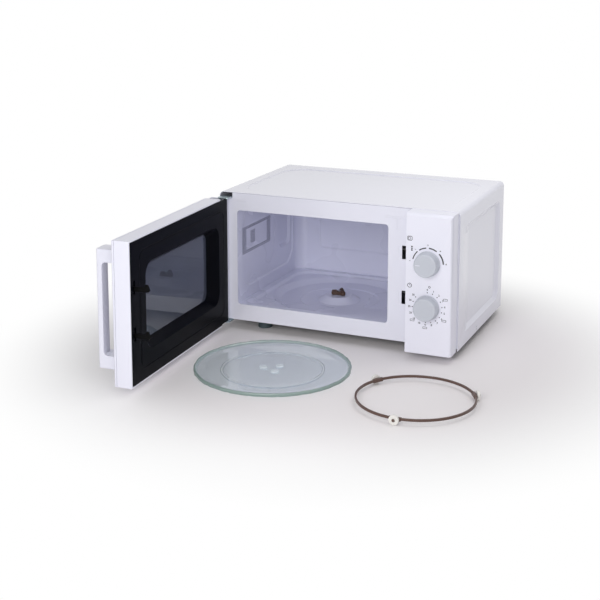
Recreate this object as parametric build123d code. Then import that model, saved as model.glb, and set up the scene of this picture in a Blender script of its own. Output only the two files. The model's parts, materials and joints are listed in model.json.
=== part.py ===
from build123d import *
import os

# Microwave oven with its door open, its glass plate and roller ring laid out in front.
#
# X runs along the front, Y towards the back and Z up. While a piece is modelled, x = 0
# is the middle of the cabinet, y = 0 the face of the front frame and z = 0 the surface
# it stands on. Saved pieces are measured from the sole of the left front foot instead.
# Lengths are millimetres and angles degrees.

# ---- cabinet ----------------------------------------------------------------
cabinet_width = 440.0
cabinet_top = 250.0
cabinet_depth = 286.0
sheet = 1.0                    # thickness of the pressed steel sheets
seam = 0.3                     # gap between pieces that sit beside each other
cover_bottom = 13.5            # lower edge of the cover's sides
cover_fold = 8.0               # outer radius of the folds along the top
cover_rear_lip = 12.0          # lip bent inwards round the back
side_press_depth = 5.0         # recess pressed into each side
side_press_slope = 36.0        # run of its slope at the front
top_press_depth = 1.2          # step pressed round the top

# ---- feet and base ----------------------------------------------------------
foot_height = 16.7
foot_radius = 13.0
foot_taper = 2.5
foot_inset_side = 72.0
foot_inset_front = 34.0
foot_inset_back = 40.0
base_flange = 14.0             # height of the base plate's turned-up edges
panel_flange = 12.0            # depth of the rear panel's turned edges
vent_pitch = 11.0              # spacing of the slots in the base and the rear panel
fan_vent = (5.0, 84.0)
duct_vent = (4.0, 50.0)
base_vent = (4.0, 28.0)
screw_head_radius = 3.6
screw_head_height = 2.2

# ---- front frame and cavity -------------------------------------------------
frame_flange = 11.0
rib_height = 0.6               # how far the pressed ribs stand out of the frame
rib_half = 1.6                 # half their width
left_stile = 34.0              # cabinet side to oven mouth
right_stile = 42.0             # oven mouth to control panel
mouth_bottom = 47.0
mouth_top = 218.0
mouth_radius = 6.0
cavity_lip = 1.0               # how far the cavity's walls lie behind the mouth's edge
cavity_headroom = 10.0         # cavity ceiling above the mouth
rear_space = 14.0              # cavity's back to the back of the cabinet
wall_press = 2.0               # depth of the shallow pressings in the cavity walls
channel_press = 4.0            # depth of the upright channel in the left wall
floor_step = 4.0               # floor inside its square border, below the border
track_drop = 7.0               # round track below that floor
track_radius = 107.0
track_slope = 15.0             # run of the sloping edge of the track
disc_drop = 1.5                # round middle of the track, below the wheels' path
disc_radius = 70.0
disc_slope = 3.0
hub_base_radius = 39.0
hub_top_radius = 24.0
hub_height = 8.0
turntable_y = 136.0

# ---- control panel and knobs ------------------------------------------------
panel_inset = 2.5              # cabinet side to panel
panel_width = 79.5
panel_depth = 32.5
panel_bottom = 12.4
panel_top_drop = 0.4           # top of the cabinet to top of the panel
panel_wall = 2.5
panel_bevel = 5.2
panel_side_bevel = 4.0
post_width = 6.0               # square posts inside the panel and on the fan's plate
knob_from_side = 44.0          # knob axis from the cabinet side
power_knob_z = 167.0
timer_knob_z = 93.0
knob_skirt_radius = 21.0
knob_face_radius = 19.2
knob_height = 17.6
knob_skirt = 3.0
knob_taper = 0.9
knob_bevel = 1.4
knob_wall = 2.4
knob_gap = 0.5                 # knob to panel face
shaft_radius = 3.0
shaft_fit = 0.05               # radial clearance of shafts and pins in their bores

# ---- door -------------------------------------------------------------------
door_inset = 1.0               # cabinet side to door
door_gap = 1.5                 # door to control panel
door_bottom = 12.4
door_top_drop = 7.0            # top of the cabinet to top of the door
door_front = -32.8
door_wall = 2.6
door_seal = 1.0                # closed door's cover to the front frame
cover_plate = 3.0              # thickness of the choke cover's flat part
cover_edge_gap = 0.2
door_open = 87.5               # how far the door stands open
pivot_inset = 7.2              # hinge pin from the cabinet side
pivot_y = -13.5
pin_radius = 2.2
hinge_sheet = 2.0
hinge_width = 20.4
window_depth = 15.2            # choke cover's face to the inner pane
inner_pane = 1.2
outer_pane = 3.0
pane_overlap = 6.0             # how far the panes reach behind their openings
door_bevel = 1.6
cover_post_width = 3.6
latch_travel = 2.2
latch_play = 0.3               # slot edge to hook arm at the end of its travel
hook_tip = 26.0                # how far the hooks reach behind the frame's face
hook_rise = 5.0                # height of a hook's head above its arm
handle_reach = 34.6
handle_width = 28.5
handle_bar = 10.0
handle_foot = 21.0
handle_bottom_rise = 21.6      # door's lower end to the handle's
handle_top_drop = 19.0         # door's upper end to the handle's
handle_from_edge = 13.5
handle_corner = 4.0
handle_bevel = 1.2
handle_gap_corner = 6.0

# ---- pieces laid out in front -----------------------------------------------
plate_radius = 127.5
plate_x = -37.0
plate_y = -175.0
plate_thickness = 3.6
plate_rim_height = 11.4
plate_foot = 3.2               # height of the ring that the plate stands on
plate_foot_radius = 97.0
ring_radius = 90.4
ring_x = 216.0
ring_y = -210.0
wheel_radius = 7.6
wheel_width = 4.2
wheel_play = 0.25              # gap on each side of a wheel along its axle
wheel_angles = (-91.0, 29.0, 149.0)

# ---- places worked out from the sizes above ---------------------------------
half_width = cabinet_width / 2
frame_top = cabinet_top - sheet - seam
panel_top = cabinet_top - panel_top_drop
door_top = cabinet_top - door_top_drop
handle_bottom = door_bottom + handle_bottom_rise
handle_top = door_top - handle_top_drop
cover_inside = half_width - sheet
panel_right = half_width - panel_inset
panel_left = panel_right - panel_width
panel_front = -panel_depth
knob_x = half_width - knob_from_side
door_left = -half_width + door_inset
door_right = panel_left - door_gap
door_face = -door_seal                    # inner face of the closed door
door_back = door_face - 1.0               # back edge of the door frame's walls
cover_back = door_face - cover_plate
mouth_left = -half_width + left_stile
mouth_right = panel_left - right_stile
cavity_left = mouth_left - cavity_lip
cavity_right = mouth_right + cavity_lip
cavity_back = cabinet_depth - rear_space
cavity_top = mouth_top + cavity_headroom
cavity_middle = (cavity_left + cavity_right) / 2
floor_level = mouth_bottom - floor_step
track_level = floor_level - track_drop
disc_level = track_level - disc_drop
hub_level = track_level + hub_height
base_top = foot_height + sheet
frame_bottom = base_top + seam
rear_face = cabinet_depth - sheet - seam  # outer face of the rear panel
bay_left = cavity_right + sheet           # machine bay between cavity and cover
bay_middle = (bay_left + cover_inside) / 2
pivot_x = -half_width + pivot_inset
pane_front = door_face - window_depth
pan_front = pane_front - inner_pane       # face of the pan towards the oven
knob_back = panel_front - knob_gap
slot_left = door_right - 15.7             # latch slots in the frame
slot_right = slot_left + 9.2
hook_left = slot_left + 2.0
hook_right = hook_left + 3.4
upper_arm = (164.0, 171.0)
lower_arm = (90.5, 97.5)
upper_slot = (upper_arm[0] - latch_travel - latch_play, upper_arm[1] + 13.5)
lower_slot = (lower_arm[0] - latch_travel - latch_play - 4.0, lower_arm[1] + 9.5)


# ---- small building blocks ---------------------------------------------------
def middle(span):
    return (span[0] + span[1]) / 2


def length(span):
    return span[1] - span[0]


def block(x, y, z):
    """Box between two places on each axis."""
    return Pos(middle(x), middle(y), middle(z)) * Box(length(x), length(y), length(z))


def grown(span, by):
    return (span[0] - by, span[1] + by)


def axis_plane(axis, level, first, second):
    """Plane across an axis at a level, centred on two places along the other axes."""
    if axis == "x":
        return Plane(origin=(level, first, second), x_dir=(0, 1, 0), z_dir=(1, 0, 0))
    if axis == "y":
        return Plane(origin=(first, level, second), x_dir=(1, 0, 0), z_dir=(0, 1, 0))
    return Plane(origin=(first, second, level), x_dir=(1, 0, 0), z_dir=(0, 0, 1))


def outline(axis, level, first, second, radius):
    """Rectangle with rounded corners across an axis."""
    plane = axis_plane(axis, level, middle(first), middle(second))
    return plane * RectangleRounded(length(first), length(second), radius)


def slab(axis, levels, first, second, radius):
    """Plate with rounded corners, as thick as its levels are apart."""
    return extrude(outline(axis, levels[0], first, second, radius), length(levels))


def pan(axis, levels, mouth, bottom):
    """Sloping pressing between two rounded outlines, each (first, second, radius)."""
    return loft([outline(axis, levels[0], *mouth), outline(axis, levels[1], *bottom)], ruled=True)


def rod(axis, place, levels, radius):
    """Round bar along an axis; place is where it lies on the other two."""
    plane = axis_plane(axis, levels[0], *place)
    return extrude(plane * Circle(radius), length(levels))


def bar(axis, place, levels, width):
    """Square bar along an axis."""
    plane = axis_plane(axis, levels[0], *place)
    return extrude(plane * Rectangle(width, width), length(levels))


def tube(axis, place, levels, radius, bore):
    return rod(axis, place, levels, radius) - rod(axis, place, grown(levels, 1.0), bore)


def turned(points):
    """Round body about Z from its half section, as (radius, height) corners."""
    return revolve(Plane.XZ * Polygon(*points, align=None), Axis.Z)


def hex_head(axis, place, seat, height):
    """Six-sided screw head on its seat; a negative height points down the axis."""
    plane = axis_plane(axis, min(seat, seat + height), *place)
    return extrude(plane * RegularPolygon(screw_head_radius, 6), abs(height))


def swung(piece):
    """A piece of the closed door, carried to where the door stands open."""
    return Pos(pivot_x, pivot_y, 0) * Rot(0, 0, -door_open) * Pos(-pivot_x, -pivot_y, 0) * piece


# ---- cabinet -----------------------------------------------------------------
def folded_block(half, y, z, radius):
    body = block((-half, half), y, z)
    return fillet(body.edges().filter_by(Axis.Y).sort_by(Axis.Z)[-2:], radius)


def side_press(side, inset):
    """Recess of one cover side: a long slope at the front, short slopes elsewhere."""
    surface = side * (half_width - inset)
    bottom = surface - side * side_press_depth
    depth = (27.0, cabinet_depth - 24.0)
    height = (cover_bottom + 22.0, cabinet_top - 29.0)
    floor_depth = (depth[0] + side_press_slope, depth[1] - side_press_slope / 3)
    floor_height = (height[0] + 7.0, height[1] - 8.0)
    return pan("x", (surface, bottom), (depth, height, 20.0), (floor_depth, floor_height, 13.0))


def top_press(inset):
    """Shallow step with large corners that runs round the top."""
    surface = cabinet_top - inset
    across = grown((-half_width, half_width), -25.0)
    depth = (24.0, cabinet_depth - 30.0)
    mouth = (across, depth, 46.0)
    bottom = (grown(across, -2.0), grown(depth, -2.0), 44.0)
    return pan("z", (surface, surface - top_press_depth), mouth, bottom)


def outer_cover():
    body = folded_block(half_width, (0, cabinet_depth), (cover_bottom, cabinet_top), cover_fold)
    hollow_depth = (-1.0, cabinet_depth - sheet)
    hollow_height = (cover_bottom - 1.0, cabinet_top - sheet)
    hollow = folded_block(cover_inside, hollow_depth, hollow_height, cover_fold - sheet)
    for side in (-1, 1):
        body -= side_press(side, 0)
        hollow -= side_press(side, sheet)
    body -= top_press(0)
    hollow -= top_press(sheet)
    back_window = block(
        grown((-cover_inside, cover_inside), -cover_rear_lip),
        (cabinet_depth - 2.0, cabinet_depth + 1.0),
        (cover_bottom - 1.0, cabinet_top - sheet - cover_rear_lip),
    )
    return body - hollow - back_window


def rear_screw_places():
    """Screws that hold the cover's rear lip and the rear panel together."""
    side = cover_inside - cover_rear_lip / 2
    high = cabinet_top - sheet - cover_rear_lip / 2
    heights = (0.24 * cabinet_top, 0.76 * cabinet_top)
    across = (-0.41 * half_width, 0.41 * half_width)
    return [(x, z) for x in (-side, side) for z in heights] + [(x, high) for x in across]


def slot_grid(axis, levels, firsts, seconds, size):
    """Rows of punched slots, joined into one cutter."""
    slots = []
    for first in firsts:
        for second in seconds:
            plane = axis_plane(axis, levels[0], first, second)
            slots.append(extrude(plane * Rectangle(*size), length(levels)))
    return slots[0].fuse(*slots[1:])


def steps(start, count, pitch):
    return [start + index * pitch for index in range(count)]


def rear_panel():
    width = grown((-cover_inside, cover_inside), -seam)
    height = (base_top, cabinet_top - sheet - seam)
    flange = rear_face - panel_flange
    body = slab("y", (flange, rear_face), width, height, 6.0)
    inside = slab("y", (flange - 1.0, rear_face - sheet), grown(width, -sheet), grown(height, -sheet), 5.0)
    through = (rear_face - 2 * sheet, rear_face + sheet)
    fan_vents = slot_grid("y", through, steps(fan_x - 4 * vent_pitch, 9, vent_pitch), (fan_z,), fan_vent)
    duct_vents = slot_grid("y", through, steps(-cover_inside + vent_pitch, 3, vent_pitch),
                           (middle(duct_z),), duct_vent)
    gland_hole = rod("y", gland_place, through, gland_radius + shaft_fit)
    return body - inside - fan_vents - duct_vents - gland_hole


def foot_places():
    xs = (-half_width + foot_inset_side, half_width - foot_inset_side)
    ys = (foot_inset_front, cabinet_depth - foot_inset_back)
    return [(x, y) for x in xs for y in ys]


def base_plate():
    width = grown((-cover_inside, cover_inside), -seam)
    depth = (hinge_sheet + sheet + seam, rear_face)
    tray = block(width, depth, (foot_height, foot_height + base_flange))
    height = (base_top, base_top + base_flange)
    hollow = block(grown(width, -sheet), (depth[0] - 1.0, depth[1] - sheet), height)
    above = (base_top - 0.01, base_top + base_flange)
    rear_rim = block(grown(width, 1.0), (rear_face - panel_flange - seam, rear_face + 1.0), above)
    front_rim = block(grown(width, 1.0), (0, frame_flange + seam), above)
    tray = tray - hollow - rear_rim - front_rim
    through = (foot_height - sheet, base_top + sheet)
    bay_vents = slot_grid("z", through, steps(bay_middle - 2.5 * vent_pitch, 6, vent_pitch),
                          (cabinet_depth - foot_inset_back,), base_vent)
    oven_vents = slot_grid("z", through, steps(cavity_middle - 4.5 * vent_pitch, 10, vent_pitch),
                           (turntable_y + motor_radius + base_vent[1],), base_vent)
    return tray - bay_vents - oven_vents


def feet():
    """Four tapered feet glued to the base plate."""
    profile = [(0, 0), (foot_radius, 0), (foot_radius - foot_taper, foot_height), (0, foot_height)]
    foot = turned(profile)
    return Compound(children=[Pos(x, y, 0) * foot for x, y in foot_places()])


# ---- front frame --------------------------------------------------------------
def rounded_top(body, radius):
    """Rounds the two upper corners, so that they lie in the cover's folds."""
    return fillet(body.edges().filter_by(Axis.Y).group_by(Axis.Z)[-1], radius)


def front_frame():
    width = grown((-cover_inside, cover_inside), -seam)
    height = (frame_bottom, frame_top)
    body = rounded_top(block(width, (0, frame_flange), height), cover_fold - sheet)
    hollow = block(grown(width, -sheet), (sheet, frame_flange + 1.0), grown(height, -sheet))
    body -= rounded_top(hollow, cover_fold - 2 * sheet)
    body -= slab("y", (-1.0, sheet + 1.0), (mouth_left, mouth_right), (mouth_bottom, mouth_top), mouth_radius)
    for slot in (upper_slot, lower_slot):
        body -= slab("y", (-1.0, sheet + 1.0), (slot_left, slot_right), slot, 0.8)
    body -= slab("y", (-1.0, sheet + 1.0), timer_bay_x, timer_bay_z, 4.0)
    notch = (width[0] - 1.0, hinge_right + 1.0)
    body -= block(notch, (-1.0, frame_flange + 1.0), (hinge_top_z - 0.4, frame_top + 1.0))
    body -= block(notch, (sheet, frame_flange + 1.0), (frame_bottom - 1.0, frame_bottom + sheet + 0.01))
    return body + frame_ribs()


def frame_ribs():
    """Low pressed ribs that the closing door's corners meet."""
    proud = (-rib_height, rib_height / 2)
    high = door_top - 7.3
    left = block((mouth_left - 1.0, mouth_left + 18.0), proud, grown((high, high), rib_half))
    right = block((mouth_right - 5.0, panel_left - 4.0), proud, grown((high - 4.0, high - 4.0), rib_half))
    post_x = mouth_right + 17.1
    upright = block(grown((post_x, post_x), rib_half), proud, (high - 24.0, high - 2.4))
    return left + right + upright


# ---- oven cavity --------------------------------------------------------------
def cavity_form(skin):
    """Inside of the oven as a solid; skin grows it by the sheet to give its outside."""
    width = grown((cavity_left, cavity_right), skin)
    depth = (sheet, cavity_back + skin)
    height = (mouth_bottom - skin, cavity_top + skin)
    form = block(width, depth, height)
    form = fillet(form.edges().filter_by(Axis.Z).sort_by(Axis.Y)[-2:], 22.0 + skin)
    form += left_wall_pressings(skin)
    form += back_wall_pressing(skin)
    form += floor_pressings(skin)
    return form - floor_hub(skin)


def left_wall_pressings(skin):
    wall = cavity_left
    height = grown((mouth_bottom + 21.0, cavity_top - 6.0), skin)
    depth = grown((22.0, cavity_back - 26.0), skin)
    mouth = (depth, height, 34.0)
    bottom = (grown(depth, -3.0), grown(height, -3.0), 31.0)
    panel = pan("x", (wall, wall - wall_press - skin), mouth, bottom)
    channel_depth = grown((184.0, 236.0), skin)
    channel_height = grown((104.0, cavity_top - 12.0), skin)
    channel_mouth = (channel_depth, channel_height, 16.0)
    channel_bottom = (grown(channel_depth, -6.0), grown(channel_height, -6.0), 11.0)
    channel_start = wall - wall_press - skin
    channel = pan("x", (channel_start, channel_start - channel_press), channel_mouth, channel_bottom)
    return panel + channel


def back_wall_pressing(skin):
    across = grown((cavity_left + 45.0, cavity_right - 45.0), skin)
    height = grown((mouth_bottom + 44.0, cavity_top - 8.0), skin)
    mouth = (across, height, 12.0)
    bottom = (grown(across, -3.0), grown(height, -3.0), 9.0)
    return pan("y", (cavity_back + skin, cavity_back + wall_press + skin), mouth, bottom)


def floor_pressings(skin):
    """Square step and round track of the floor."""
    across = grown((cavity_left + 12.0, cavity_right - 12.0), skin)
    depth = grown((14.0, cavity_back - 12.0), skin)
    mouth = (across, depth, 40.0)
    bottom = (grown(across, -4.0), grown(depth, -4.0), 36.0)
    square = pan("z", (mouth_bottom - skin, floor_level - skin), mouth, bottom)
    outer = track_radius + track_slope
    track = turned([(0, disc_level - skin), (disc_radius + skin, disc_level - skin),
                    (disc_radius + disc_slope + skin, track_level - skin),
                    (track_radius + skin, track_level - skin), (outer + skin, floor_level - skin),
                    (outer + skin, floor_level + 0.5), (0, floor_level + 0.5)])
    return square + on_turntable(track)


def floor_hub(skin):
    """Cone that the floor rises to round the drive shaft."""
    base = disc_level - skin
    cone = turned([(0, base - 1.0), (hub_base_radius - skin, base - 1.0), (hub_base_radius - skin, base),
                   (hub_top_radius - skin, hub_level - skin), (0, hub_level - skin)])
    return on_turntable(cone)


def oven_shell():
    """The whole oven box: pressed walls, ceiling and floor, open at the front."""
    body = cavity_form(sheet) - cavity_form(0) - block((cavity_left, cavity_right), (0, sheet * 2),
                                                        (mouth_bottom, cavity_top))
    body -= slab("x", (cavity_right - 1.0, bay_left + 1.0), guide_mouth_y, guide_mouth_z, 3.0)
    body -= rod("z", (cavity_middle, turntable_y), (disc_level, hub_level + 1.0), drive_shaft_radius + 1.5)
    return body


def below_the_mouth():
    """Space below the level at which the walls are welded to the floor."""
    width = grown((cavity_left, cavity_right), 20.0)
    return block(width, (0, cavity_back + 20.0), (frame_bottom, mouth_bottom))


def oven_cavity():
    return oven_shell() - below_the_mouth()


def oven_floor():
    return oven_shell() & below_the_mouth()


# ---- control panel ------------------------------------------------------------
timer_bay_x = (panel_left + 10.0, panel_right - 8.0)
timer_bay_z = (timer_knob_z - 32.0, power_knob_z + 32.0)
timer_body_x = grown(timer_bay_x, -2.5)
timer_body_z = grown(timer_bay_z, -6.0)
timer_face = -12.0                        # front face of the timer unit
timer_plate = 1.5
timer_back = 24.0
timer_case = 50.0
switch_case = 44.0
terminal_width = 6.0
terminal_sheet = 0.8


def timer_post_places():
    xs = (timer_body_x[0] + post_width, timer_body_x[1] - post_width)
    zs = (timer_body_z[0] + post_width, timer_body_z[1] - post_width)
    return [(x, z) for x in xs for z in zs]


def control_panel():
    body = block((panel_left, panel_right), (panel_front, 0), (panel_bottom, panel_top))
    top_edge = body.edges().filter_by(Axis.X).group_by(Axis.Y)[0].sort_by(Axis.Z)[-1]
    body = chamfer(top_edge, panel_bevel)
    side_edge = body.edges().filter_by(Axis.Z).group_by(Axis.Y)[0].sort_by(Axis.X)[-1]
    body = chamfer(side_edge, panel_side_bevel)
    inner_width = grown((panel_left, panel_right), -panel_wall)
    inner_height = (panel_bottom + panel_wall, panel_top - panel_wall)
    inner_front = panel_front + panel_wall
    hollow = block(inner_width, (inner_front, 1.0), inner_height)
    hollow_top = hollow.edges().filter_by(Axis.X).group_by(Axis.Y)[0].sort_by(Axis.Z)[-1]
    body -= chamfer(hollow_top, panel_bevel - panel_wall / 2)
    for place in timer_post_places():
        body += bar("y", place, (inner_front, timer_face), post_width)
    for z in (inner_height[0] + 2 * post_width, inner_height[1] - 2 * post_width):
        body += bar("y", (middle(inner_width), z), (inner_front, 0), post_width)
    for z in (timer_knob_z, power_knob_z):
        body -= rod("y", (knob_x, z), (panel_front - 1.0, inner_front + 1.0), 2 * shaft_radius)
    return body


def knob(z):
    """Hollow knob with a skirt, a tapering grip, a bevelled rim and a hub for its shaft."""
    root = knob_face_radius + knob_taper
    body = turned([(0, 0), (knob_skirt_radius, 0), (knob_skirt_radius, knob_skirt), (root, knob_skirt),
                   (knob_face_radius, knob_height - knob_bevel),
                   (knob_face_radius - knob_bevel, knob_height), (0, knob_height)])
    hollow = rod("z", (0, 0), (-1.0, knob_height - knob_wall), knob_face_radius - knob_wall)
    hub = tube("z", (0, 0), (0, knob_height - knob_wall + 0.5), shaft_radius + knob_wall, shaft_radius)
    return Pos(knob_x, knob_back, z) * Rot(90, 0, 0) * (body - hollow + hub)


def knob_shaft(z):
    """Shaft from the timer unit into the knob's hub."""
    tip = knob_back - (knob_height - 2 * knob_wall)
    return rod("y", (knob_x, z), (tip, timer_face + timer_plate), shaft_radius)


def timer_unit():
    """Power switch and timer on one plate, screwed to the panel's posts."""
    body = block(timer_body_x, (timer_face, timer_face + timer_plate), timer_body_z)
    for z, height in ((timer_knob_z, timer_case), (power_knob_z, switch_case)):
        case_depth = (timer_face + timer_plate, timer_back)
        body += block(grown(timer_body_x, -4.0), case_depth, grown((z, z), height / 2))
        collar_depth = (timer_face - 2 * shaft_radius, timer_face)
        body += tube("y", (knob_x, z), collar_depth, shaft_radius + timer_plate, shaft_radius + shaft_fit)
        body -= rod("y", (knob_x, z), (timer_face, timer_face + timer_plate), shaft_radius + shaft_fit)
    for x in steps(knob_x - 2 * terminal_width, 4, 1.5 * terminal_width):
        body += block((x, x + terminal_width), (timer_back, timer_back + terminal_width),
                      (power_knob_z - switch_case / 3, power_knob_z - switch_case / 3 + terminal_sheet))
    return body


# ---- hinges --------------------------------------------------------------------
hinge_left = pivot_x - 3.6
hinge_right = hinge_left + hinge_width
hinge_top_z = door_top - 3.0              # underside of the upper hinge plate
hinge_low_z = foot_height                 # upper face of the lower hinge plate
ear_clear = 0.4
leg_height = 34.0


def hinge(plate_z, leg_z, pin_z):
    """Plate that carries the pin in front of the frame, and its leg behind the frame."""
    back = sheet + hinge_sheet
    plate = slab("z", plate_z, (hinge_left, hinge_right), (pivot_y - 3.6, back), 3.5)
    plate += block((hinge_left, hinge_right), (sheet, back), plate_z)
    leg = block((hinge_left, hinge_right), (sheet, back), leg_z)
    pin = rod("z", (pivot_x, pivot_y), pin_z, pin_radius)
    return plate + leg + pin


def hinge_top():
    plate_z = (hinge_top_z, hinge_top_z + hinge_sheet)
    return hinge(plate_z, (hinge_top_z - leg_height, plate_z[1]), (hinge_top_z - 8.0, plate_z[1]))


def hinge_bottom():
    plate_z = (hinge_low_z - hinge_sheet, hinge_low_z)
    return hinge(plate_z, (plate_z[0], hinge_low_z + leg_height), (plate_z[0], hinge_low_z + 8.0))


def hinge_screws():
    back = sheet + hinge_sheet
    x = middle((hinge_left, hinge_right))
    heights = (hinge_top_z - leg_height * 0.75, hinge_top_z - leg_height * 0.35,
               hinge_low_z + leg_height * 0.45, hinge_low_z + leg_height * 0.8)
    return Compound(children=[hex_head("y", (x, z), back, screw_head_height) for z in heights])


# ---- door ----------------------------------------------------------------------
pan_left = door_left + door_wall + seam
pan_right = slot_left - 7.0
pan_bottom = door_bottom + door_wall + 4.0
pan_top = door_top - door_wall - 4.4
window_x = (pivot_x + 32.3, door_right - 48.5)       # recess at the choke cover's face
window_z = (door_bottom + 45.6, door_top - 44.5)
pane_x = (window_x[0] + 22.0, window_x[1] - 16.0)    # recess where it meets the pane
pane_z = (window_z[0] + 12.0, window_z[1] - 10.5)
notch_right = pivot_x + 22.2
door_line = (door_front + 4.2, door_front + 5.0)      # seam line round the door's sides
front_window_x = (door_left + 47.0, door_right - 60.5)
front_window_z = (door_bottom + 45.0, door_top - 45.0)


def hinge_notches(y):
    """Room in the door for the two hinge plates, as wide as the plates sweep."""
    x = (door_left - 1.0, notch_right)
    upper = block(x, y, (hinge_top_z - ear_clear, door_top + 1.0))
    lower = block(x, y, (door_bottom - 1.0, hinge_low_z + ear_clear))
    return upper + lower


def door_frame():
    body = block((door_left, door_right), (door_front, door_back), (door_bottom, door_top))
    body = chamfer(body.edges().group_by(Axis.Y)[0], door_bevel)
    inner_x = grown((door_left, door_right), -door_wall)
    inner_z = grown((door_bottom, door_top), -door_wall)
    inner_front = door_front + door_wall
    body -= block(inner_x, (inner_front, door_back + 1.0), inner_z)
    line = block(grown((door_left, door_right), 1.0), door_line, grown((door_bottom, door_top), 1.0))
    inner_height = grown((door_bottom, door_top), -0.5)
    line -= block(grown((door_left, door_right), -0.5), grown(door_line, 1.0), inner_height)
    body -= line
    body -= slab("y", (door_front - 1.0, inner_front + 1.0), front_window_x, front_window_z, 10.0)
    body += latch_guides()
    for place in cover_post_places():
        body += bar("y", place, (inner_front, cover_back), cover_post_width)
    return body - hinge_notches((door_front - 1.0, door_back + 1.0))


def cover_post_places():
    """Posts beside the pan that the choke cover is fixed to."""
    x = pan_right + 0.8 + cover_post_width / 2
    return [(x, z) for z in (pan_bottom + post_width, middle((pan_bottom, pan_top)), pan_top - post_width)]


latch_x = (hook_left - 3.0, hook_right + 3.0)
latch_y = (door_front + door_wall + 8.0, cover_back - 6.0)
latch_z = (lower_arm[0] - 12.0, upper_arm[1] + 16.0)
spring_top = latch_z[1] + 16.0
spring_radius = 2.6
wire_radius = 0.45


def latch_guides():
    """Ribs that the latch slide runs between, and the post its spring hangs from."""
    guides = []
    depth = (door_front + door_wall - 0.5, latch_y[1] + 2.0)
    for z in (latch_z[0] + 8.0, middle(latch_z), latch_z[1] - 10.0):
        for x in ((latch_x[0] - 2.2, latch_x[0] - 0.2), (latch_x[1] + 0.2, latch_x[1] + 2.2)):
            guides.append(block(x, depth, grown((z, z), 3.0)))
        guides.append(block(latch_x, (depth[0], latch_y[0] - 0.2), grown((z, z), 3.0)))
    post_depth = (door_front + door_wall - 0.5, latch_y[1])
    guides.append(block(latch_x, post_depth, (spring_top, spring_top + 4.0)))
    return guides[0].fuse(*guides[1:])


def latch_hook(arm):
    """One hook: an arm through the door's cover and a head that rises behind the frame."""
    low, high = arm
    root = latch_y[1] - 1.0
    corners = [(root, low), (hook_tip - 3.0, low), (hook_tip, low + 3.0), (hook_tip - 3.5, high + hook_rise),
               (hook_tip - 7.4, high + hook_rise), (hook_tip - 8.6, high), (root, high)]
    plane = Plane(origin=(hook_left, 0, 0), x_dir=(0, 1, 0), z_dir=(1, 0, 0))
    return extrude(plane * Polygon(*corners, align=None), hook_right - hook_left)


def latch_hooks():
    slide = slab("x", latch_x, latch_y, latch_z, 1.5)
    return slide + latch_hook(upper_arm) + latch_hook(lower_arm)


def latch_spring():
    """Close-wound tension spring, as the tube that its touching turns make, with its end loops."""
    levels = (latch_z[1], spring_top)
    place = (middle(latch_x), middle(latch_y))
    loop = wire_radius * 2
    coil = tube("z", place, grown(levels, -2 * loop), spring_radius, spring_radius - loop)
    for end in ((levels[0], levels[0] + 2 * loop), (levels[1] - 2 * loop, levels[1])):
        loop_width = grown((place[0], place[0]), spring_radius * 0.8)
        coil += block(loop_width, grown((place[1], place[1]), wire_radius), end)
    return coil


def door_pan():
    """Steel pan: screen plate, choke walls with slots along their edge, and hinge ears."""
    x = (pan_left, pan_right)
    z = (pan_bottom, pan_top)
    depth = (pan_front - sheet, cover_back)
    body = block(x, depth, z)
    body -= block(grown(x, -sheet), (pan_front, cover_back + 1.0), grown(z, -sheet))
    inner = [grown(x, -14.0), grown(z, -14.0)]
    wall = block(inner[0], (pan_front - 0.01, cover_back - 2.0), inner[1])
    wall -= block(grown(inner[0], -sheet), (pan_front - 1.0, cover_back), grown(inner[1], -sheet))
    body += wall
    body -= choke_slots(inner)
    for ear_z in (ear_levels("top"), ear_levels("bottom")):
        body += slab("z", ear_z, (pan_left, pan_left + 16.0), (pivot_y - 3.4, cover_back - 0.5), 2.5)
        body -= rod("z", (pivot_x, pivot_y), grown(ear_z, 1.0), pin_radius + shaft_fit)
    return body


def ear_levels(end):
    """Levels of the ear that a hinge pin goes through."""
    if end == "top":
        return (pan_top - 1.6, pan_top)
    return (pan_bottom, pan_bottom + 1.6)


def choke_slots(inner):
    """Comb of slots along the inner choke wall, which stops the microwaves."""
    depth = (pan_front + 4.0, cover_back + 1.0)
    cutters = []
    across = length(inner[0]) / 14
    for index in range(1, 14):
        centre = inner[0][0] + index * across
        cutters.append(block(grown((centre, centre), 2.0), depth, grown(inner[1], 1.0)))
    upright = length(inner[1]) / 9
    for index in range(1, 9):
        centre = inner[1][0] + index * upright
        cutters.append(block(grown(inner[0], 1.0), depth, grown((centre, centre), 2.0)))
    return cutters[0].fuse(*cutters[1:])


def funnel(inset):
    """Sloping window recess of the choke cover; inset makes its thinner inside."""
    mouth = (grown(window_x, inset), grown(window_z, inset), 22.0 + inset)
    bottom = (grown(pane_x, inset), grown(pane_z, inset), 13.0 + inset)
    return pan("y", (door_face, pane_front), mouth, bottom)


def choke_cover():
    x = grown((door_left, door_right), -door_wall - cover_edge_gap)
    z = grown((door_bottom, door_top), -door_wall - cover_edge_gap)
    body = slab("y", (cover_back, door_face), x, z, 2.0)
    body += funnel(1.8)
    body -= funnel(0)
    line_x = grown(window_x, 19.0)
    line_z = grown(window_z, 24.0)
    groove = slab("y", (door_face - 0.8, door_face + 1.0), line_x, line_z, 15.0)
    groove -= slab("y", (door_face - 1.0, door_face + 1.0), grown(line_x, -1.3), grown(line_z, -1.3), 13.7)
    body -= groove
    for arm in (upper_arm, lower_arm):
        body -= slab("y", (cover_back - 1.0, door_face + 1.0), (hook_left - 1.2, hook_right + 1.2),
                     (arm[0] - latch_travel - 3.0, arm[1] + 9.0), 1.0)
    return body - hinge_notches((cover_back - 1.0, door_face + 1.0))


def inner_window():
    return block(grown(pane_x, pane_overlap), (pan_front, pane_front), grown(pane_z, pane_overlap))


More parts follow.
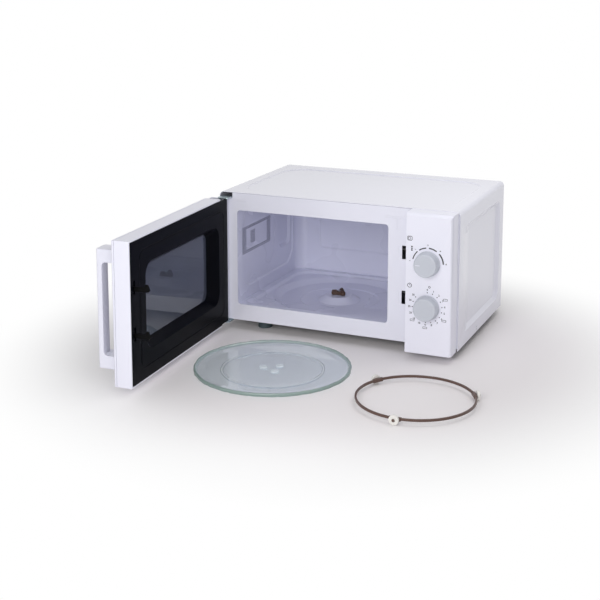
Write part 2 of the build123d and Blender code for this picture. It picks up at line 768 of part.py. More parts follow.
def outer_window():
    back = door_front + door_wall
    width = grown(front_window_x, pane_overlap)
    return block(width, (back, back + outer_pane), grown(front_window_z, pane_overlap))


handle_right = door_right - handle_from_edge
handle_x = handle_right - handle_width / 2


def handle_screw_heights():
    return (handle_bottom + handle_foot / 2, handle_top - handle_foot / 2)


def door_handle():
    x = (handle_right - handle_width, handle_right)
    outer = door_front - handle_reach
    body = block(x, (outer, door_front), (handle_bottom, handle_top))
    body = fillet(body.edges().filter_by(Axis.Z).group_by(Axis.Y)[0], handle_corner)
    body = chamfer(body.edges().group_by(Axis.Z)[-1] + body.edges().group_by(Axis.Z)[0], handle_bevel)
    gap_z = (handle_bottom + handle_foot, handle_top - handle_foot)
    gap_y = (outer + handle_bar, door_front + handle_bar)
    return body - slab("x", grown(x, 1.0), gap_y, gap_z, handle_gap_corner)


def handle_screws():
    """Screw heads inside the door's front, one for each foot of the handle."""
    seat = door_front + door_wall
    screws = [hex_head("y", (handle_x, z), seat, screw_head_height) for z in handle_screw_heights()]
    return Compound(children=screws)


# ---- heating parts in the machine bay --------------------------------------------
guide_mouth_y = (118.0, 190.0)            # opening in the cavity wall for the waves
guide_mouth_z = (128.0, 158.0)
guide_y = grown(guide_mouth_y, 4.0)
guide_z = (guide_mouth_z[0] - 4.0, 216.0)
guide_right = bay_left + 30.0
tube_y = middle(guide_y)
tube_z = guide_z[1] - 26.0
tube_radius = 20.0
yoke_right = guide_right + 56.0
yoke_sheet = 2.0
fin_pitch = 11.0
antenna_radius = 7.5
antenna_reach = 22.0
filter_depth = 24.0
mica_sheet = 0.6


def waveguide():
    body = block((bay_left, guide_right), guide_y, guide_z)
    body -= block((bay_left - 1.0, guide_right - sheet), grown(guide_y, -sheet), grown(guide_z, -sheet))
    flange = block((bay_left, bay_left + sheet), grown(guide_y, 9.0), grown(guide_z, 9.0))
    flange -= block((bay_left - 1.0, bay_left + 2.0), grown(guide_y, -sheet), grown(guide_z, -sheet))
    body += flange
    return body - rod("x", (tube_y, tube_z), (guide_right - 2.0, guide_right + 1.0), 10.0)


def waveguide_cover():
    """Thin mica sheet over the opening, on the oven side of the wall."""
    depth = (cavity_right - mica_sheet, cavity_right)
    return block(depth, grown(guide_mouth_y, 8.0), grown(guide_mouth_z, 8.0))


def magnetron_body():
    """Yoke of two side plates and two end plates round a stack of cooling fins."""
    y = grown((tube_y, tube_y), 2 * tube_radius)
    z = grown((tube_z, tube_z), tube_radius + 4.0)
    x = (guide_right, yoke_right)
    yoke = block(x, y, z) - block(grown(x, -yoke_sheet), grown(y, -yoke_sheet), grown(z, 1.0))
    for place in steps(x[0] + fin_pitch, 4, fin_pitch):
        yoke += block((place, place + 0.8), grown(y, -yoke_sheet), grown(z, -1.0))
    return yoke - rod("x", (tube_y, tube_z), grown(x, 1.0), tube_radius + shaft_fit)


def magnetron_tube():
    anode = rod("x", (tube_y, tube_z), (guide_right, yoke_right), tube_radius)
    antenna = rod("x", (tube_y, tube_z), (guide_right - antenna_reach, guide_right), antenna_radius)
    filter_box = block((yoke_right, yoke_right + filter_depth), grown((tube_y, tube_y), tube_radius + 2.0),
                       grown((tube_z, tube_z), tube_radius - 2.0))
    return anode + antenna + filter_box


def thermal_cutout():
    """Round thermostat on the oven's ceiling."""
    place = (cavity_right - 30.0, 90.0)
    seat = cavity_top + sheet
    body = rod("z", place, (seat, seat + 9.0), 8.0)
    ears = block(grown((place[0], place[0]), 13.0), grown((place[1], place[1]), 4.0), (seat, seat + sheet))
    return body + ears


core_half_width = 44.0
core_height = 58.0
core_limb = 15.0               # width of the outer limbs and of each coil space
core_yoke = 13.0               # height of the core above and below the coils
core_x = grown((bay_middle, bay_middle), core_half_width)
core_y = (118.0, 188.0)
core_z = (base_top, base_top + core_height)


def transformer_core():
    """Laminated core with a shell round a middle limb, standing on the base plate."""
    body = block(core_x, grown(core_y, -12.0), core_z)
    left_space = (core_x[0] + core_limb, core_x[0] + 2 * core_limb)
    right_space = (core_x[1] - 2 * core_limb, core_x[1] - core_limb)
    for x in (left_space, right_space):
        body -= block(x, grown(core_y, 1.0), grown(core_z, -core_yoke))
    feet_plate = block(grown(core_x, 5.0), grown(core_y, -8.0), (core_z[0], core_z[0] + 2.0))
    return body + feet_plate


def winding(z):
    """Coil round the middle limb, filling part of the core's two windows."""
    limb_x = grown(core_x, -2 * core_limb)
    limb_y = grown(core_y, -12.0)
    outer = slab("z", z, grown(limb_x, 14.2), grown(limb_y, 11.0), 6.0)
    return outer - block(grown(limb_x, 0.3), grown(limb_y, 0.3), grown(z, 1.0))


def primary_winding():
    return winding((core_z[0] + 13.5, core_z[0] + 27.5))


def secondary_winding():
    return winding((core_z[0] + 28.5, core_z[1] - 13.5))


can_y = (74.0, 106.0)
can_z = (base_top + 3.0, base_top + 51.0)
can_x = (bay_left + 12.0, bay_left + 92.0)
can_corner = 15.5
clamp_gap = 0.2
board_sheet = 1.6


def capacitor():
    """Oval can lying on its saddle, with two terminals on its end."""
    can = slab("x", can_x, can_y, can_z, can_corner)
    for y in (middle(can_y) - 8.0, middle(can_y) + 8.0):
        can += bar("x", (y, middle(can_z)), (can_x[1], can_x[1] + 9.0), 4.5)
    return can


def capacitor_clamp():
    x = grown((middle(can_x), middle(can_x)), 9.0)
    inner = (grown(can_y, clamp_gap), grown(can_z, clamp_gap))
    band = slab("x", x, grown(inner[0], sheet), grown(inner[1], sheet), can_corner + clamp_gap + sheet)
    band -= slab("x", grown(x, 1.0), *inner, can_corner + clamp_gap)
    foot = block(x, grown(can_y, 14.0), (base_top, can_z[0] - clamp_gap - sheet / 2))
    return band + foot


diode_height = 20.0
board_x = (14.0, 94.0)         # filter board's ends, from the cavity's side
board_y = (22.0, 62.0)


def diode():
    """High-voltage diode between the capacitor's end and the base."""
    place = (can_x[1] + 4.0, can_y[1] + 8.0)
    body = rod("z", place, (base_top, base_top + diode_height), 4.0)
    level = (base_top, base_top + sheet)
    lug = block(grown((place[0], place[0]), 5.0), grown((place[1], place[1]), 5.0), level)
    return body + lug


def filter_board():
    """Mains filter: circuit board on four posts with choke, capacitor and fuse."""
    x = (bay_left + board_x[0], bay_left + board_x[1])
    y = board_y
    level = base_top + post_width
    top = level + board_sheet
    board = block(x, y, (level, top))
    for px in grown(x, -post_width):
        for py in grown(y, -post_width):
            board += bar("z", (px, py), (base_top, level), post_width * 0.8)
    board += block((x[0] + 10.0, x[0] + 32.0), (y[0] + 8.0, y[0] + 20.0), (top, top + 16.0))
    board += tube("z", (x[0] + 52.0, y[0] + 18.0), (top, top + 11.0), 10.0, 4.5)
    board += block((x[0] + 20.0, x[0] + 50.0), (y[1] - 11.0, y[1] - 5.0), (top, top + 6.0))
    return board


# ---- cooling fan ------------------------------------------------------------------
fan_x = bay_middle
fan_z = 150.0
fan_radius = 44.0
hub_radius = 15.0
blade_depth = 14.0
blade_chord = 20.0
blade_pitch = 34.0
fan_shaft_radius = 2.0
rotor_radius = 8.7
ring_outer = fan_radius + 6.0
shroud_wall = 2.0
shroud_back = rear_face - sheet - 22.0
shroud_depth = 20.0
motor_depth = 12.0


def fan_shroud():
    """Square plate with a ring round the blades, and struts to the motor."""
    half = ring_outer + 4.0
    x = grown((fan_x, fan_x), half)
    z = grown((fan_z, fan_z), half)
    back = (shroud_back - 2.0, shroud_back)
    ring = (shroud_back - shroud_depth, shroud_back)
    body = block(x, back, z) + rod("y", (fan_x, fan_z), ring, ring_outer)
    body -= rod("y", (fan_x, fan_z), grown(ring, 1.0), ring_outer - shroud_wall)
    arm = grown((0, 0), ring_outer - shroud_wall / 2)
    for angle in (0, 90):
        body += Pos(fan_x, 0, fan_z) * Rot(0, angle, 0) * block(arm, back, (-4.0, 4.0))
    body -= rod("y", (fan_x, fan_z), grown(back, 1.0), 3 * fan_shaft_radius)
    for x_side in grown(x, -post_width):
        for z_side in grown(z, -post_width):
            body += bar("y", (x_side, z_side), (shroud_back, rear_face - sheet), post_width)
    return body


def fan_motor_core():
    """Shaded-pole motor: square laminated stator with a bearing bracket."""
    y = (shroud_back, shroud_back + motor_depth)
    body = block(grown((fan_x, fan_x), 20.0), y, (fan_z - 16.0, fan_z + 30.0))
    body -= block(grown((fan_x, fan_x), 11.0), grown(y, 1.0), (fan_z + 14.0, fan_z + 23.0))
    body -= rod("y", (fan_x, fan_z), grown(y, 1.0), 9.0)
    end = (y[1] - 2.0, y[1])
    body += rod("y", (fan_x, fan_z), end, 9.5)
    return body - rod("y", (fan_x, fan_z), grown(end, 1.0), fan_shaft_radius + shaft_fit)


def fan_motor_coil():
    """Coil round the stator's upper limb, flush with the stator on the fan's side."""
    y = (shroud_back + 0.2, shroud_back + motor_depth + 4.0)
    x = grown((fan_x, fan_x), 10.6)
    coil = slab("x", x, y, (fan_z + 14.4, fan_z + 35.0), 3.0)
    limb_depth = (shroud_back - 1.0, shroud_back + motor_depth + 0.3)
    limb = block(grown(x, 1.0), limb_depth, (fan_z + 22.7, fan_z + 30.3))
    return coil - limb


def fan_rotor():
    """Motor shaft with its rotor drum."""
    shaft_ends = (shroud_back - shroud_depth + 3.0, shroud_back + motor_depth)
    shaft = rod("y", (fan_x, fan_z), shaft_ends, fan_shaft_radius)
    drum = (shroud_back + 0.4, shroud_back + motor_depth - 2.4)
    return shaft + rod("y", (fan_x, fan_z), drum, rotor_radius)


def fan_blade():
    """Cup-shaped hub with five pitched blades."""
    hub = rod("z", (0, 0), (0, blade_depth), hub_radius)
    hub -= rod("z", (0, 0), (2.5, blade_depth + 1.0), hub_radius - shroud_wall)
    hub += rod("z", (0, 0), (0, blade_depth), 2 * fan_shaft_radius)
    root = Plane(origin=(hub_radius - 1.0, 0, blade_depth / 2), x_dir=(0, 1, 0), z_dir=(1, 0, 0))
    blade = extrude(root * Rot(0, 0, blade_pitch) * Rectangle(blade_chord, 1.2), fan_radius - hub_radius)
    for angle in range(0, 360, 72):
        hub += Rot(0, 0, angle) * blade
    hub -= rod("z", (0, 0), (-1.0, blade_depth + 1.0), fan_shaft_radius)
    return Pos(fan_x, shroud_back - 3.0, fan_z) * Rot(90, 0, 0) * hub


# ---- lamp, duct and latch electrics -------------------------------------------------
lamp_x = cavity_left - wall_press - sheet - 10.5
lamp_y = 68.0
lamp_bottom = 138.0
lamp_radius = 8.0
lamp_neck = 6.0
socket_top = 187.0
duct_z = (126.0, 190.0)


def lamp_holder():
    """Socket with a bent bracket that hangs on the oven's side wall."""
    seat = cavity_left - wall_press - sheet
    rim = lamp_neck + 3.0
    body = rod("z", (lamp_x, lamp_y), (socket_top - 20.0, socket_top), rim)
    body -= rod("z", (lamp_x, lamp_y), (socket_top - 21.0, socket_top - 4.0), lamp_neck + shaft_fit)
    across = grown((lamp_y, lamp_y), lamp_neck)
    bracket = block((lamp_x, seat), across, (socket_top, socket_top + 1.5))
    leg = block((seat - 1.5, seat), across, (socket_top, socket_top + 20.0))
    return body + bracket + leg


def oven_lamp():
    """Small bulb whose neck stands in the socket."""
    bulb = turned([(0, lamp_bottom), (lamp_radius * 0.6, lamp_bottom + 1.5), (lamp_radius, lamp_bottom + 8.0),
                   (lamp_radius, lamp_bottom + 16.0), (lamp_neck, lamp_bottom + 25.0),
                   (lamp_neck, socket_top - 4.0), (0, socket_top - 4.0)])
    return Pos(lamp_x, lamp_y, 0) * bulb


def exhaust_duct():
    """Hood on the side wall that leads the oven's air to the rear vents."""
    seat = cavity_left - wall_press - sheet
    x = (-cover_inside + side_press_depth + 2.0, seat)
    y = (24.0, rear_face - panel_flange + 3.0)
    z = duct_z
    body = block(x, y, z) - block((x[0] + 1.5, x[1] + 1.0), (y[0] + 1.5, y[1] + 1.0), grown(z, -1.5))
    channel = block((x[0] + 4.0, x[1] + 1.0), (180.0, 240.0), grown(z, 1.0))
    lamp_room = block((x[0] - 1.0, x[1] + 1.0), (lamp_y - 14.0, lamp_y + 14.0), (z[1] - 2.0, z[1] + 1.0))
    return body - lamp_room - channel


def interlock_bracket():
    """Plastic board beside the latch slots, with a catch ledge above each hook."""
    x = (slot_right + 1.5, slot_right + 4.0)
    board = slab("x", x, (sheet, 44.0), (lower_slot[0] - 20.0, upper_slot[1] + 16.0), 4.0)
    foot = block((slot_right + 1.5, slot_right + 9.0), (sheet, sheet + 2.5),
                 (lower_slot[0] - 18.0, upper_slot[1] + 14.0))
    board += foot
    for arm in (upper_arm, lower_arm):
        ledge_low = arm[1] + 5.5
        board += block((hook_left - 2.0, x[0] + 0.5), (sheet + 1.0, 16.5), (ledge_low, ledge_low + 3.0))
    return board


def microswitches():
    """Three switches on the far side of the bracket: two at the hooks, one between."""
    x = (slot_right + 4.0, slot_right + 14.0)
    switches = []
    for z in (middle(upper_arm), middle((lower_arm[0], upper_arm[1])), middle(lower_arm)):
        body = block(x, (16.0, 44.0), grown((z, z), 8.0))
        for y in (20.0, 30.0, 40.0):
            body += block((x[1] - 0.5, x[1] + 6.0), grown((y, y), 2.4), grown((z, z), 0.4))
        switches.append(body)
    return Compound(children=switches)


# ---- turntable drive -------------------------------------------------------------
drive_shaft_radius = 3.5
motor_radius = 24.5
motor_height = 15.5
ear_reach = 52.0
shaft_seat = 8.0               # depth of the drive shaft in the motor
coupler_level = hub_level + 0.8
coupler_height = 6.0
coupler_reach = 14.5


def on_turntable(piece):
    return Pos(cavity_middle, turntable_y, 0) * piece


def turntable_motor():
    """Flat geared motor under the floor, with two ears and a bearing boss."""
    top = disc_level - sheet
    body = rod("z", (0, 0), (top - motor_height, top), motor_radius)
    body += block((-ear_reach, ear_reach), (-7.0, 7.0), (top - sheet, top))
    body += rod("z", (0, 0), (top - 0.5, hub_level - sheet - seam), 2 * drive_shaft_radius)
    body -= rod("z", (0, 0), (top - shaft_seat, hub_level), drive_shaft_radius + shaft_fit)
    return on_turntable(body)


def turntable_shaft():
    top = disc_level - sheet
    levels = (top - shaft_seat + shaft_fit, coupler_level + coupler_height + 1.0)
    return on_turntable(rod("z", (0, 0), levels, drive_shaft_radius))


def turntable_coupler():
    """Hub with three lobes that reach under the plate's lugs."""
    level = (coupler_level, coupler_level + coupler_height)
    body = rod("z", (0, 0), level, 2 * drive_shaft_radius)
    for angle in (90, 210, 330):
        lobe = block((drive_shaft_radius, coupler_reach), (-4.5, 4.5), level)
        lobe = chamfer(lobe.edges().filter_by(Axis.Z).group_by(Axis.X)[-1], 2.5)
        ridge_reach = (drive_shaft_radius + 1.5, coupler_reach - 1.0)
        ridge = block(ridge_reach, (-2.0, 2.0), (level[1], level[1] + 2.6))
        body += Rot(0, 0, angle) * (lobe + ridge)
    body -= rod("z", (0, 0), grown(level, 4.0), drive_shaft_radius)
    return on_turntable(body)


# ---- plate and ring ----------------------------------------------------------------
def glass_plate():
    """Glass plate: flat middle on a foot ring, rising to a rounded rim."""
    top = plate_foot + plate_thickness
    rim = plate_radius
    bend = plate_foot_radius + 13.0
    profile = [(0, plate_foot), (plate_foot_radius - 4.0, plate_foot), (plate_foot_radius - 4.0, 0),
               (plate_foot_radius, 0), (plate_foot_radius, plate_foot), (bend, plate_foot),
               (rim, plate_rim_height - 2.0), (rim - 1.2, plate_rim_height),
               (rim - plate_thickness, plate_rim_height), (bend - 1.5, top), (0, top)]
    body = turned(profile)
    for angle in (30, 150, 270):
        lug = block((12.0, 26.0), (-5.0, 5.0), (plate_foot - 2.6, plate_foot))
        body += Rot(0, 0, angle) * lug
    return Pos(plate_x, plate_y, 0) * body


ring_levels = (wheel_radius - 1.6, wheel_radius + 2.4)
ring_half = 1.5
pad_half = 2.3
pad_length = 18.0
axle_radius = 1.2
wheel_inner = ring_radius + ring_half + 1.5


def roller_ring():
    """Hoop of flat section with three pads, each with an axle pointing outwards."""
    hoop = tube("z", (0, 0), ring_levels, ring_radius + ring_half, ring_radius - ring_half)
    wheel_end = wheel_inner + wheel_width
    for angle in wheel_angles:
        pad = block((ring_radius - pad_half, ring_radius + pad_half), grown((0, 0), pad_length / 2),
                    grown((wheel_radius, wheel_radius), pad_half + 0.6))
        shoulder = bar("x", (0, wheel_radius), (ring_radius, wheel_inner - wheel_play), 2 * pad_half)
        axle = rod("x", (0, wheel_radius), (ring_radius, wheel_end + 2 * wheel_play), axle_radius)
        cap_start = wheel_end + wheel_play
        cap = rod("x", (0, wheel_radius), (cap_start, cap_start + 1.4), 2 * axle_radius)
        hoop += Rot(0, 0, angle) * (pad + shoulder + axle + cap)
    return Pos(ring_x, ring_y, 0) * hoop


def roller_wheel(angle):
    """Wheel that runs on its axle."""
    levels = (wheel_inner, wheel_inner + wheel_width)
    wheel = tube("x", (0, wheel_radius), levels, wheel_radius, axle_radius + shaft_fit)
    return Pos(ring_x, ring_y, 0) * Rot(0, 0, angle) * wheel


# ---- small parts of the case ---------------------------------------------------------
gland_radius = 7.0
gland_place = (bay_middle + 30.0, base_top + 26.0)


def cord_gland():
    """Bushing in the rear panel where a mains cord would enter."""
    flange = tube("y", gland_place, (rear_face, rear_face + 1.2), gland_radius + 2.5, 4.0)
    barrel = tube("y", gland_place, (rear_face - 9.0, rear_face + 1.0), gland_radius, 4.0)
    return flange + barrel


def case_screws():
    """Screw heads on the cover's rear lip."""
    screws = [hex_head("y", place, cabinet_depth, screw_head_height) for place in rear_screw_places()]
    return Compound(children=screws)


# ---- all pieces ------------------------------------------------------------------------
cabinet_pieces = {
    "outer_cover": outer_cover,
    "rear_panel": rear_panel,
    "base_plate": base_plate,
    "feet": feet,
    "front_frame": front_frame,
    "oven_cavity": oven_cavity,
    "oven_floor": oven_floor,
    "control_panel": control_panel,
    "timer_unit": timer_unit,
    "hinge_top": hinge_top,
    "hinge_bottom": hinge_bottom,
    "hinge_screws": hinge_screws,
    "waveguide": waveguide,
    "waveguide_cover": waveguide_cover,
    "magnetron_body": magnetron_body,
    "magnetron_tube": magnetron_tube,
    "thermal_cutout": thermal_cutout,
    "transformer_core": transformer_core,
    "primary_winding": primary_winding,
    "secondary_winding": secondary_winding,
    "capacitor": capacitor,
    "capacitor_clamp": capacitor_clamp,
    "diode": diode,
    "filter_board": filter_board,
    "fan_shroud": fan_shroud,
    "fan_motor_core": fan_motor_core,
    "fan_motor_coil": fan_motor_coil,
    "fan_rotor": fan_rotor,
    "fan_blade": fan_blade,
    "lamp_holder": lamp_holder,
    "oven_lamp": oven_lamp,
    "exhaust_duct": exhaust_duct,
    "interlock_bracket": interlock_bracket,
    "microswitches": microswitches,
    "turntable_motor": turntable_motor,
    "turntable_shaft": turntable_shaft,
    "turntable_coupler": turntable_coupler,
    "cord_gland": cord_gland,
    "case_screws": case_screws,
    "glass_plate": glass_plate,
    "roller_ring": roller_ring,
}

door_pieces = {
    "door_frame": door_frame,
    "door_pan": door_pan,
    "choke_cover": choke_cover,
    "inner_window": inner_window,
    "outer_window": outer_window,
    "door_handle": door_handle,
    "handle_screws": handle_screws,
    "latch_hooks": latch_hooks,
    "latch_spring": latch_spring,
}


def save(name, piece):
    """Write a piece, measured from the middle of the left front foot's sole."""
    foot_x, foot_y = foot_places()[0]
    export_step(Pos(-foot_x, -foot_y, 0) * piece, f"parts/{name}.step")


def main():
    os.makedirs("parts", exist_ok=True)
    for name, build in cabinet_pieces.items():
        save(name, build())
    for name, build in door_pieces.items():
        save(name, swung(build()))
    for name, z in (("power", power_knob_z), ("timer", timer_knob_z)):
        save(f"{name}_knob", knob(z))
        save(f"{name}_shaft", knob_shaft(z))
    for number, angle in enumerate(wheel_angles, start=1):
        save(f"roller_wheel_{number}", roller_wheel(angle))


main()
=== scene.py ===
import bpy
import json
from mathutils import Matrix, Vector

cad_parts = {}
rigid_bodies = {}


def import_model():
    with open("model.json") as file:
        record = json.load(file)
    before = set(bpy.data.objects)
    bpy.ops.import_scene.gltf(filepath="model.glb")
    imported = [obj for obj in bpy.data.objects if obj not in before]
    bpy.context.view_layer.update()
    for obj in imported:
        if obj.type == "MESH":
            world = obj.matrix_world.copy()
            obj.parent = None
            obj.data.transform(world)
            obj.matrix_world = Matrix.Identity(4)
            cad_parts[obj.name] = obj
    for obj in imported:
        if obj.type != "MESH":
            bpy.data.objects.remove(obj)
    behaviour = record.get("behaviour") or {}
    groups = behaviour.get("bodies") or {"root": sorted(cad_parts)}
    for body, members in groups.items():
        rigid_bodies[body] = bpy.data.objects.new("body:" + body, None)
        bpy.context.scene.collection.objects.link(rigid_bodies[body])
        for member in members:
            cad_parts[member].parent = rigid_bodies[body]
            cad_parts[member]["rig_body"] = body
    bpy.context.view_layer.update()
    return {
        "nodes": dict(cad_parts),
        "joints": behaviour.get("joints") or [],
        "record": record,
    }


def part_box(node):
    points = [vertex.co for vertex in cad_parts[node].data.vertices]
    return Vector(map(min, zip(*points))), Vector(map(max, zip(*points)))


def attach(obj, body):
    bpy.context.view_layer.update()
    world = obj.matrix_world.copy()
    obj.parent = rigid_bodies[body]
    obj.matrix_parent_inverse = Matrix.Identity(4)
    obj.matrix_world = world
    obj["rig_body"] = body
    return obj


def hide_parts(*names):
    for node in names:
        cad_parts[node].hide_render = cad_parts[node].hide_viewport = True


bl_info = {
    "name": "Microwave oven",
    "version": (1, 0, 0),
    "blender": (4, 5, 0),
    "location": "View3D > Sidebar > Oven",
    "description": "Dresses the packed microwave oven with detailed pieces, finishes, lamps and a camera",
    "category": "Object",
}

import json
import math

import bmesh
import bpy
from mathutils import Matrix, Vector

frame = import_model()

# Lengths below are millimetres, measured as on the drawing of the oven: x from the
# middle of the cabinet, y from the face of the front frame, z up from the table.
MM = 0.001
cover_low, cover_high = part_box("outer_cover")
MIDDLE = Vector(((cover_low.x + cover_high.x) / 2, cover_low.y, 0.0))
joints = {joint["name"]: joint for joint in frame["joints"]}
slots = {part["node"]: part["material_slot"] for part in frame["record"]["subparts"]}
HINGE = Vector(joints["door_hinge"]["pos_m"])
OPEN_ANGLE = math.radians(joints["door_hinge"]["range_deg"][0])
DOOR_TURN = (
    Matrix.Translation((HINGE.x, HINGE.y, 0))
    @ Matrix.Rotation(OPEN_ANGLE, 4, "Z")
    @ Matrix.Translation((-HINGE.x, -HINGE.y, 0))
)


def at(x, y, z):
    """Place in the frame, in metres, of a point on the drawing."""
    return MIDDLE + Vector((x, y, z)) * MM


def on_drawing(point, shut=False):
    """Point of the frame as drawing millimetres; shut gives a door piece's with the door closed."""
    if shut:
        point = DOOR_TURN.inverted() @ point
    return (point - MIDDLE) / MM


# ---- settings -------------------------------------------------------------------
def colour_setting(name, description, default):
    return bpy.props.StringProperty(name=name, description=description, default=default)


def size_setting(name, description, default):
    return bpy.props.FloatProperty(
        name=name, description=description, default=default * MM, min=0.0,
        unit="LENGTH", subtype="DISTANCE", precision=5)


class OvenColours(bpy.types.PropertyGroup):
    paint: colour_setting("Paint", "Gloss white of the cabinet, as sRGB hex", "E9E9F4")
    enamel: colour_setting("Enamel", "Pale lilac enamel inside the oven, as sRGB hex", "E0E1F3")
    moulding: colour_setting("Moulding", "White plastic of panel, door and handle, as sRGB hex", "ECECF7")
    knobs: colour_setting("Knobs", "Silver-grey plastic of the knobs, as sRGB hex", "C3C7D0")
    cover: colour_setting("Door cover", "Navy-black plastic inside the door, as sRGB hex", "06070D")
    print: colour_setting("Print", "Ink of the dial marks, as sRGB hex", "1B1D22")
    floor: colour_setting("Floor", "Pale floor near the oven, as sRGB hex", "F3EFEF")


class OvenSizes(bpy.types.PropertyGroup):
    sheet_edge: size_setting("Sheet edge", "Width that breaks the edges of sheet pieces", 0.25)
    moulded_edge: size_setting("Moulded edge", "Width that breaks the edges of moulded pieces", 0.5)
    crease: size_setting("Crease", "Width that softens the creases of pressed and moulded covers", 1.2)
    sharp_crease: size_setting("Sharp crease", "Width that softens the creases of the two frames", 0.5)
    oven_crease: size_setting("Oven crease", "Width that softens the creases of the enamelled oven", 1.6)
    power_arc: size_setting("Power arc", "Radius of the arc printed round the power knob", 26.2)
    timer_dots: size_setting("Timer dots", "Radius of the ring of dots round the timer knob", 25.4)
    digit: size_setting("Digits", "Height of the numbers on the timer's scale", 3.3)
    hole_pitch: size_setting("Hole pitch", "Spacing of the vent holes in the oven's left wall", 3.4)
    screen_pitch: size_setting("Screen pitch", "Spacing of the holes in the door's screen", 2.4)


# ---- modelling helpers ------------------------------------------------------------
def deselect():
    if bpy.context.object and bpy.context.object.mode != "OBJECT":
        bpy.ops.object.mode_set(mode="OBJECT")
    bpy.ops.object.select_all(action="DESELECT")


def activate(piece):
    deselect()
    piece.select_set(True)
    bpy.context.view_layer.objects.active = piece


def edit(piece, kind="EDGE"):
    """Opens a piece in edit mode with nothing selected."""
    activate(piece)
    bpy.ops.object.mode_set(mode="EDIT")
    bpy.ops.mesh.select_mode(type=kind)
    bpy.ops.mesh.select_all(action="DESELECT")
    return bmesh.from_edit_mesh(piece.data)


def place(piece):
    """Moves the object's place, turn and size into its mesh."""
    activate(piece)
    bpy.ops.object.transform_apply(location=True, rotation=True, scale=True)


def named(piece, name):
    piece.name = name
    piece.data.name = name
    return piece


def round_edges(piece, width, low=15, high=60, segments=3, where=None):
    """Bevels the edges whose faces meet at low to high degrees and whose place passes the test.

    The angles given by default are those of creases in pressed or moulded sheet.
    """
    mesh = edit(piece)
    found = False
    for line in mesh.edges:
        if len(line.link_faces) != 2:
            continue
        turn = math.degrees(line.calc_face_angle(0))
        inside = where is None or all(where(on_drawing(corner.co)) for corner in line.verts)
        if low <= turn <= high and inside:
            line.select_set(True)
            found = True
    bmesh.update_edit_mesh(piece.data)
    if found:
        bpy.ops.mesh.bevel(
            offset=width, segments=segments, profile=0.5, affect="EDGES", clamp_overlap=True,
            loop_slide=False)
    bpy.ops.object.mode_set(mode="OBJECT")
    return piece


def finish_mesh(piece, edge=None, smooth=32):
    """Breaks the sharp edges, smooths the rest and lets the large faces keep their direction."""
    sharp = 50
    activate(piece)
    if edge:
        bevel = piece.modifiers.new("edges", "BEVEL")
        bevel.width = edge
        bevel.segments = 2
        bevel.limit_method = "ANGLE"
        bevel.angle_limit = math.radians(sharp)
        bevel.use_clamp_overlap = False
        bevel.loop_slide = False
        bevel.face_strength_mode = "FSTR_ALL"
        bpy.ops.object.modifier_apply(modifier=bevel.name)
    bpy.ops.object.shade_smooth_by_angle(angle=math.radians(smooth), keep_sharp_edges=True)
    weighted = piece.modifiers.new("directions", "WEIGHTED_NORMAL")
    weighted.keep_sharp = True
    weighted.use_face_influence = bool(edge)
    bpy.ops.object.modifier_apply(modifier=weighted.name)
    return piece


def merged_copy(node, name):
    """Copy of a CAD node with its triangles welded, and drawn anew over its flat faces."""
    weld, flat = 0.002, 0.6
    source = frame["nodes"][node]
    piece = bpy.data.objects.new(name, source.data.copy())
    bpy.context.scene.collection.objects.link(piece)
    named(piece, name)
    edit(piece, "VERT")
    bpy.ops.mesh.select_all(action="SELECT")
    bpy.ops.mesh.remove_doubles(threshold=weld * MM)
    bpy.ops.mesh.dissolve_limited(angle_limit=math.radians(flat), use_dissolve_boundaries=False)
    bpy.ops.mesh.select_all(action="SELECT")
    bpy.ops.mesh.quads_convert_to_tris(quad_method="BEAUTY", ngon_method="BEAUTY")
    bpy.ops.object.mode_set(mode="OBJECT")
    return piece


def fit(piece, node, material=None, replaces=True):
    """Gives a piece its finish, and makes it ride with the body of a CAD node."""
    piece.data.materials.clear()
    piece.data.materials.append(material or finishes[slots[node]])
    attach(piece, frame["nodes"][node]["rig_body"])
    if replaces:
        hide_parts(node)


def dressed(node, edge=None, crease=None, material=None):
    """The CAD node's shape with softened creases and broken edges, by default those of sheet."""
    sizes = bpy.context.scene.oven_sizes
    piece = merged_copy(node, node + "_dressed")
    if crease:
        round_edges(piece, crease)
    finish_mesh(piece, edge or sizes.sheet_edge)
    fit(piece, node, material)


def lathe(name, centre, profile, sides, axis="Z"):
    """Turned piece: a ring that is pulled and scaled from one (radius, level) to the next."""
    turn = {"Z": (0, 0, 0), "Y": (math.radians(90), 0, 0)}[axis]
    pull = {"Z": Vector((0, 0, 1)), "Y": Vector((0, -1, 0))}[axis]
    point, weld = 1e-3, 0.005
    radius, level = max(profile[0][0], point), profile[0][1]
    start = centre + pull * level * MM
    deselect()
    bpy.ops.mesh.primitive_circle_add(vertices=sides, radius=radius * MM, location=start, rotation=turn)
    piece = bpy.context.object
    named(piece, name)
    place(piece)
    edit(piece)
    bpy.ops.mesh.select_all(action="SELECT")
    for wide, high in profile[1:]:
        pivot = centre + pull * high * MM
        shift = pull * (high - level) * MM
        bpy.ops.mesh.extrude_edges_move(TRANSFORM_OT_translate={"value": shift})
        wide = max(wide, point)
        share = wide / radius
        scale = (share, share, 1) if axis == "Z" else (share, 1, share)
        bpy.ops.transform.resize(value=scale, center_override=pivot)
        radius, level = wide, high
    bpy.ops.mesh.select_all(action="SELECT")
    bpy.ops.mesh.remove_doubles(threshold=weld * MM)
    bpy.ops.mesh.normals_make_consistent(inside=False)
    bpy.ops.object.mode_set(mode="OBJECT")
    return piece


def join(pieces, name):
    activate(pieces[0])
    for piece in pieces[1:]:
        piece.select_set(True)
    if len(pieces) > 1:
        bpy.ops.object.join()
    return named(pieces[0], name)


# ---- finishes ---------------------------------------------------------------------
finishes = {}


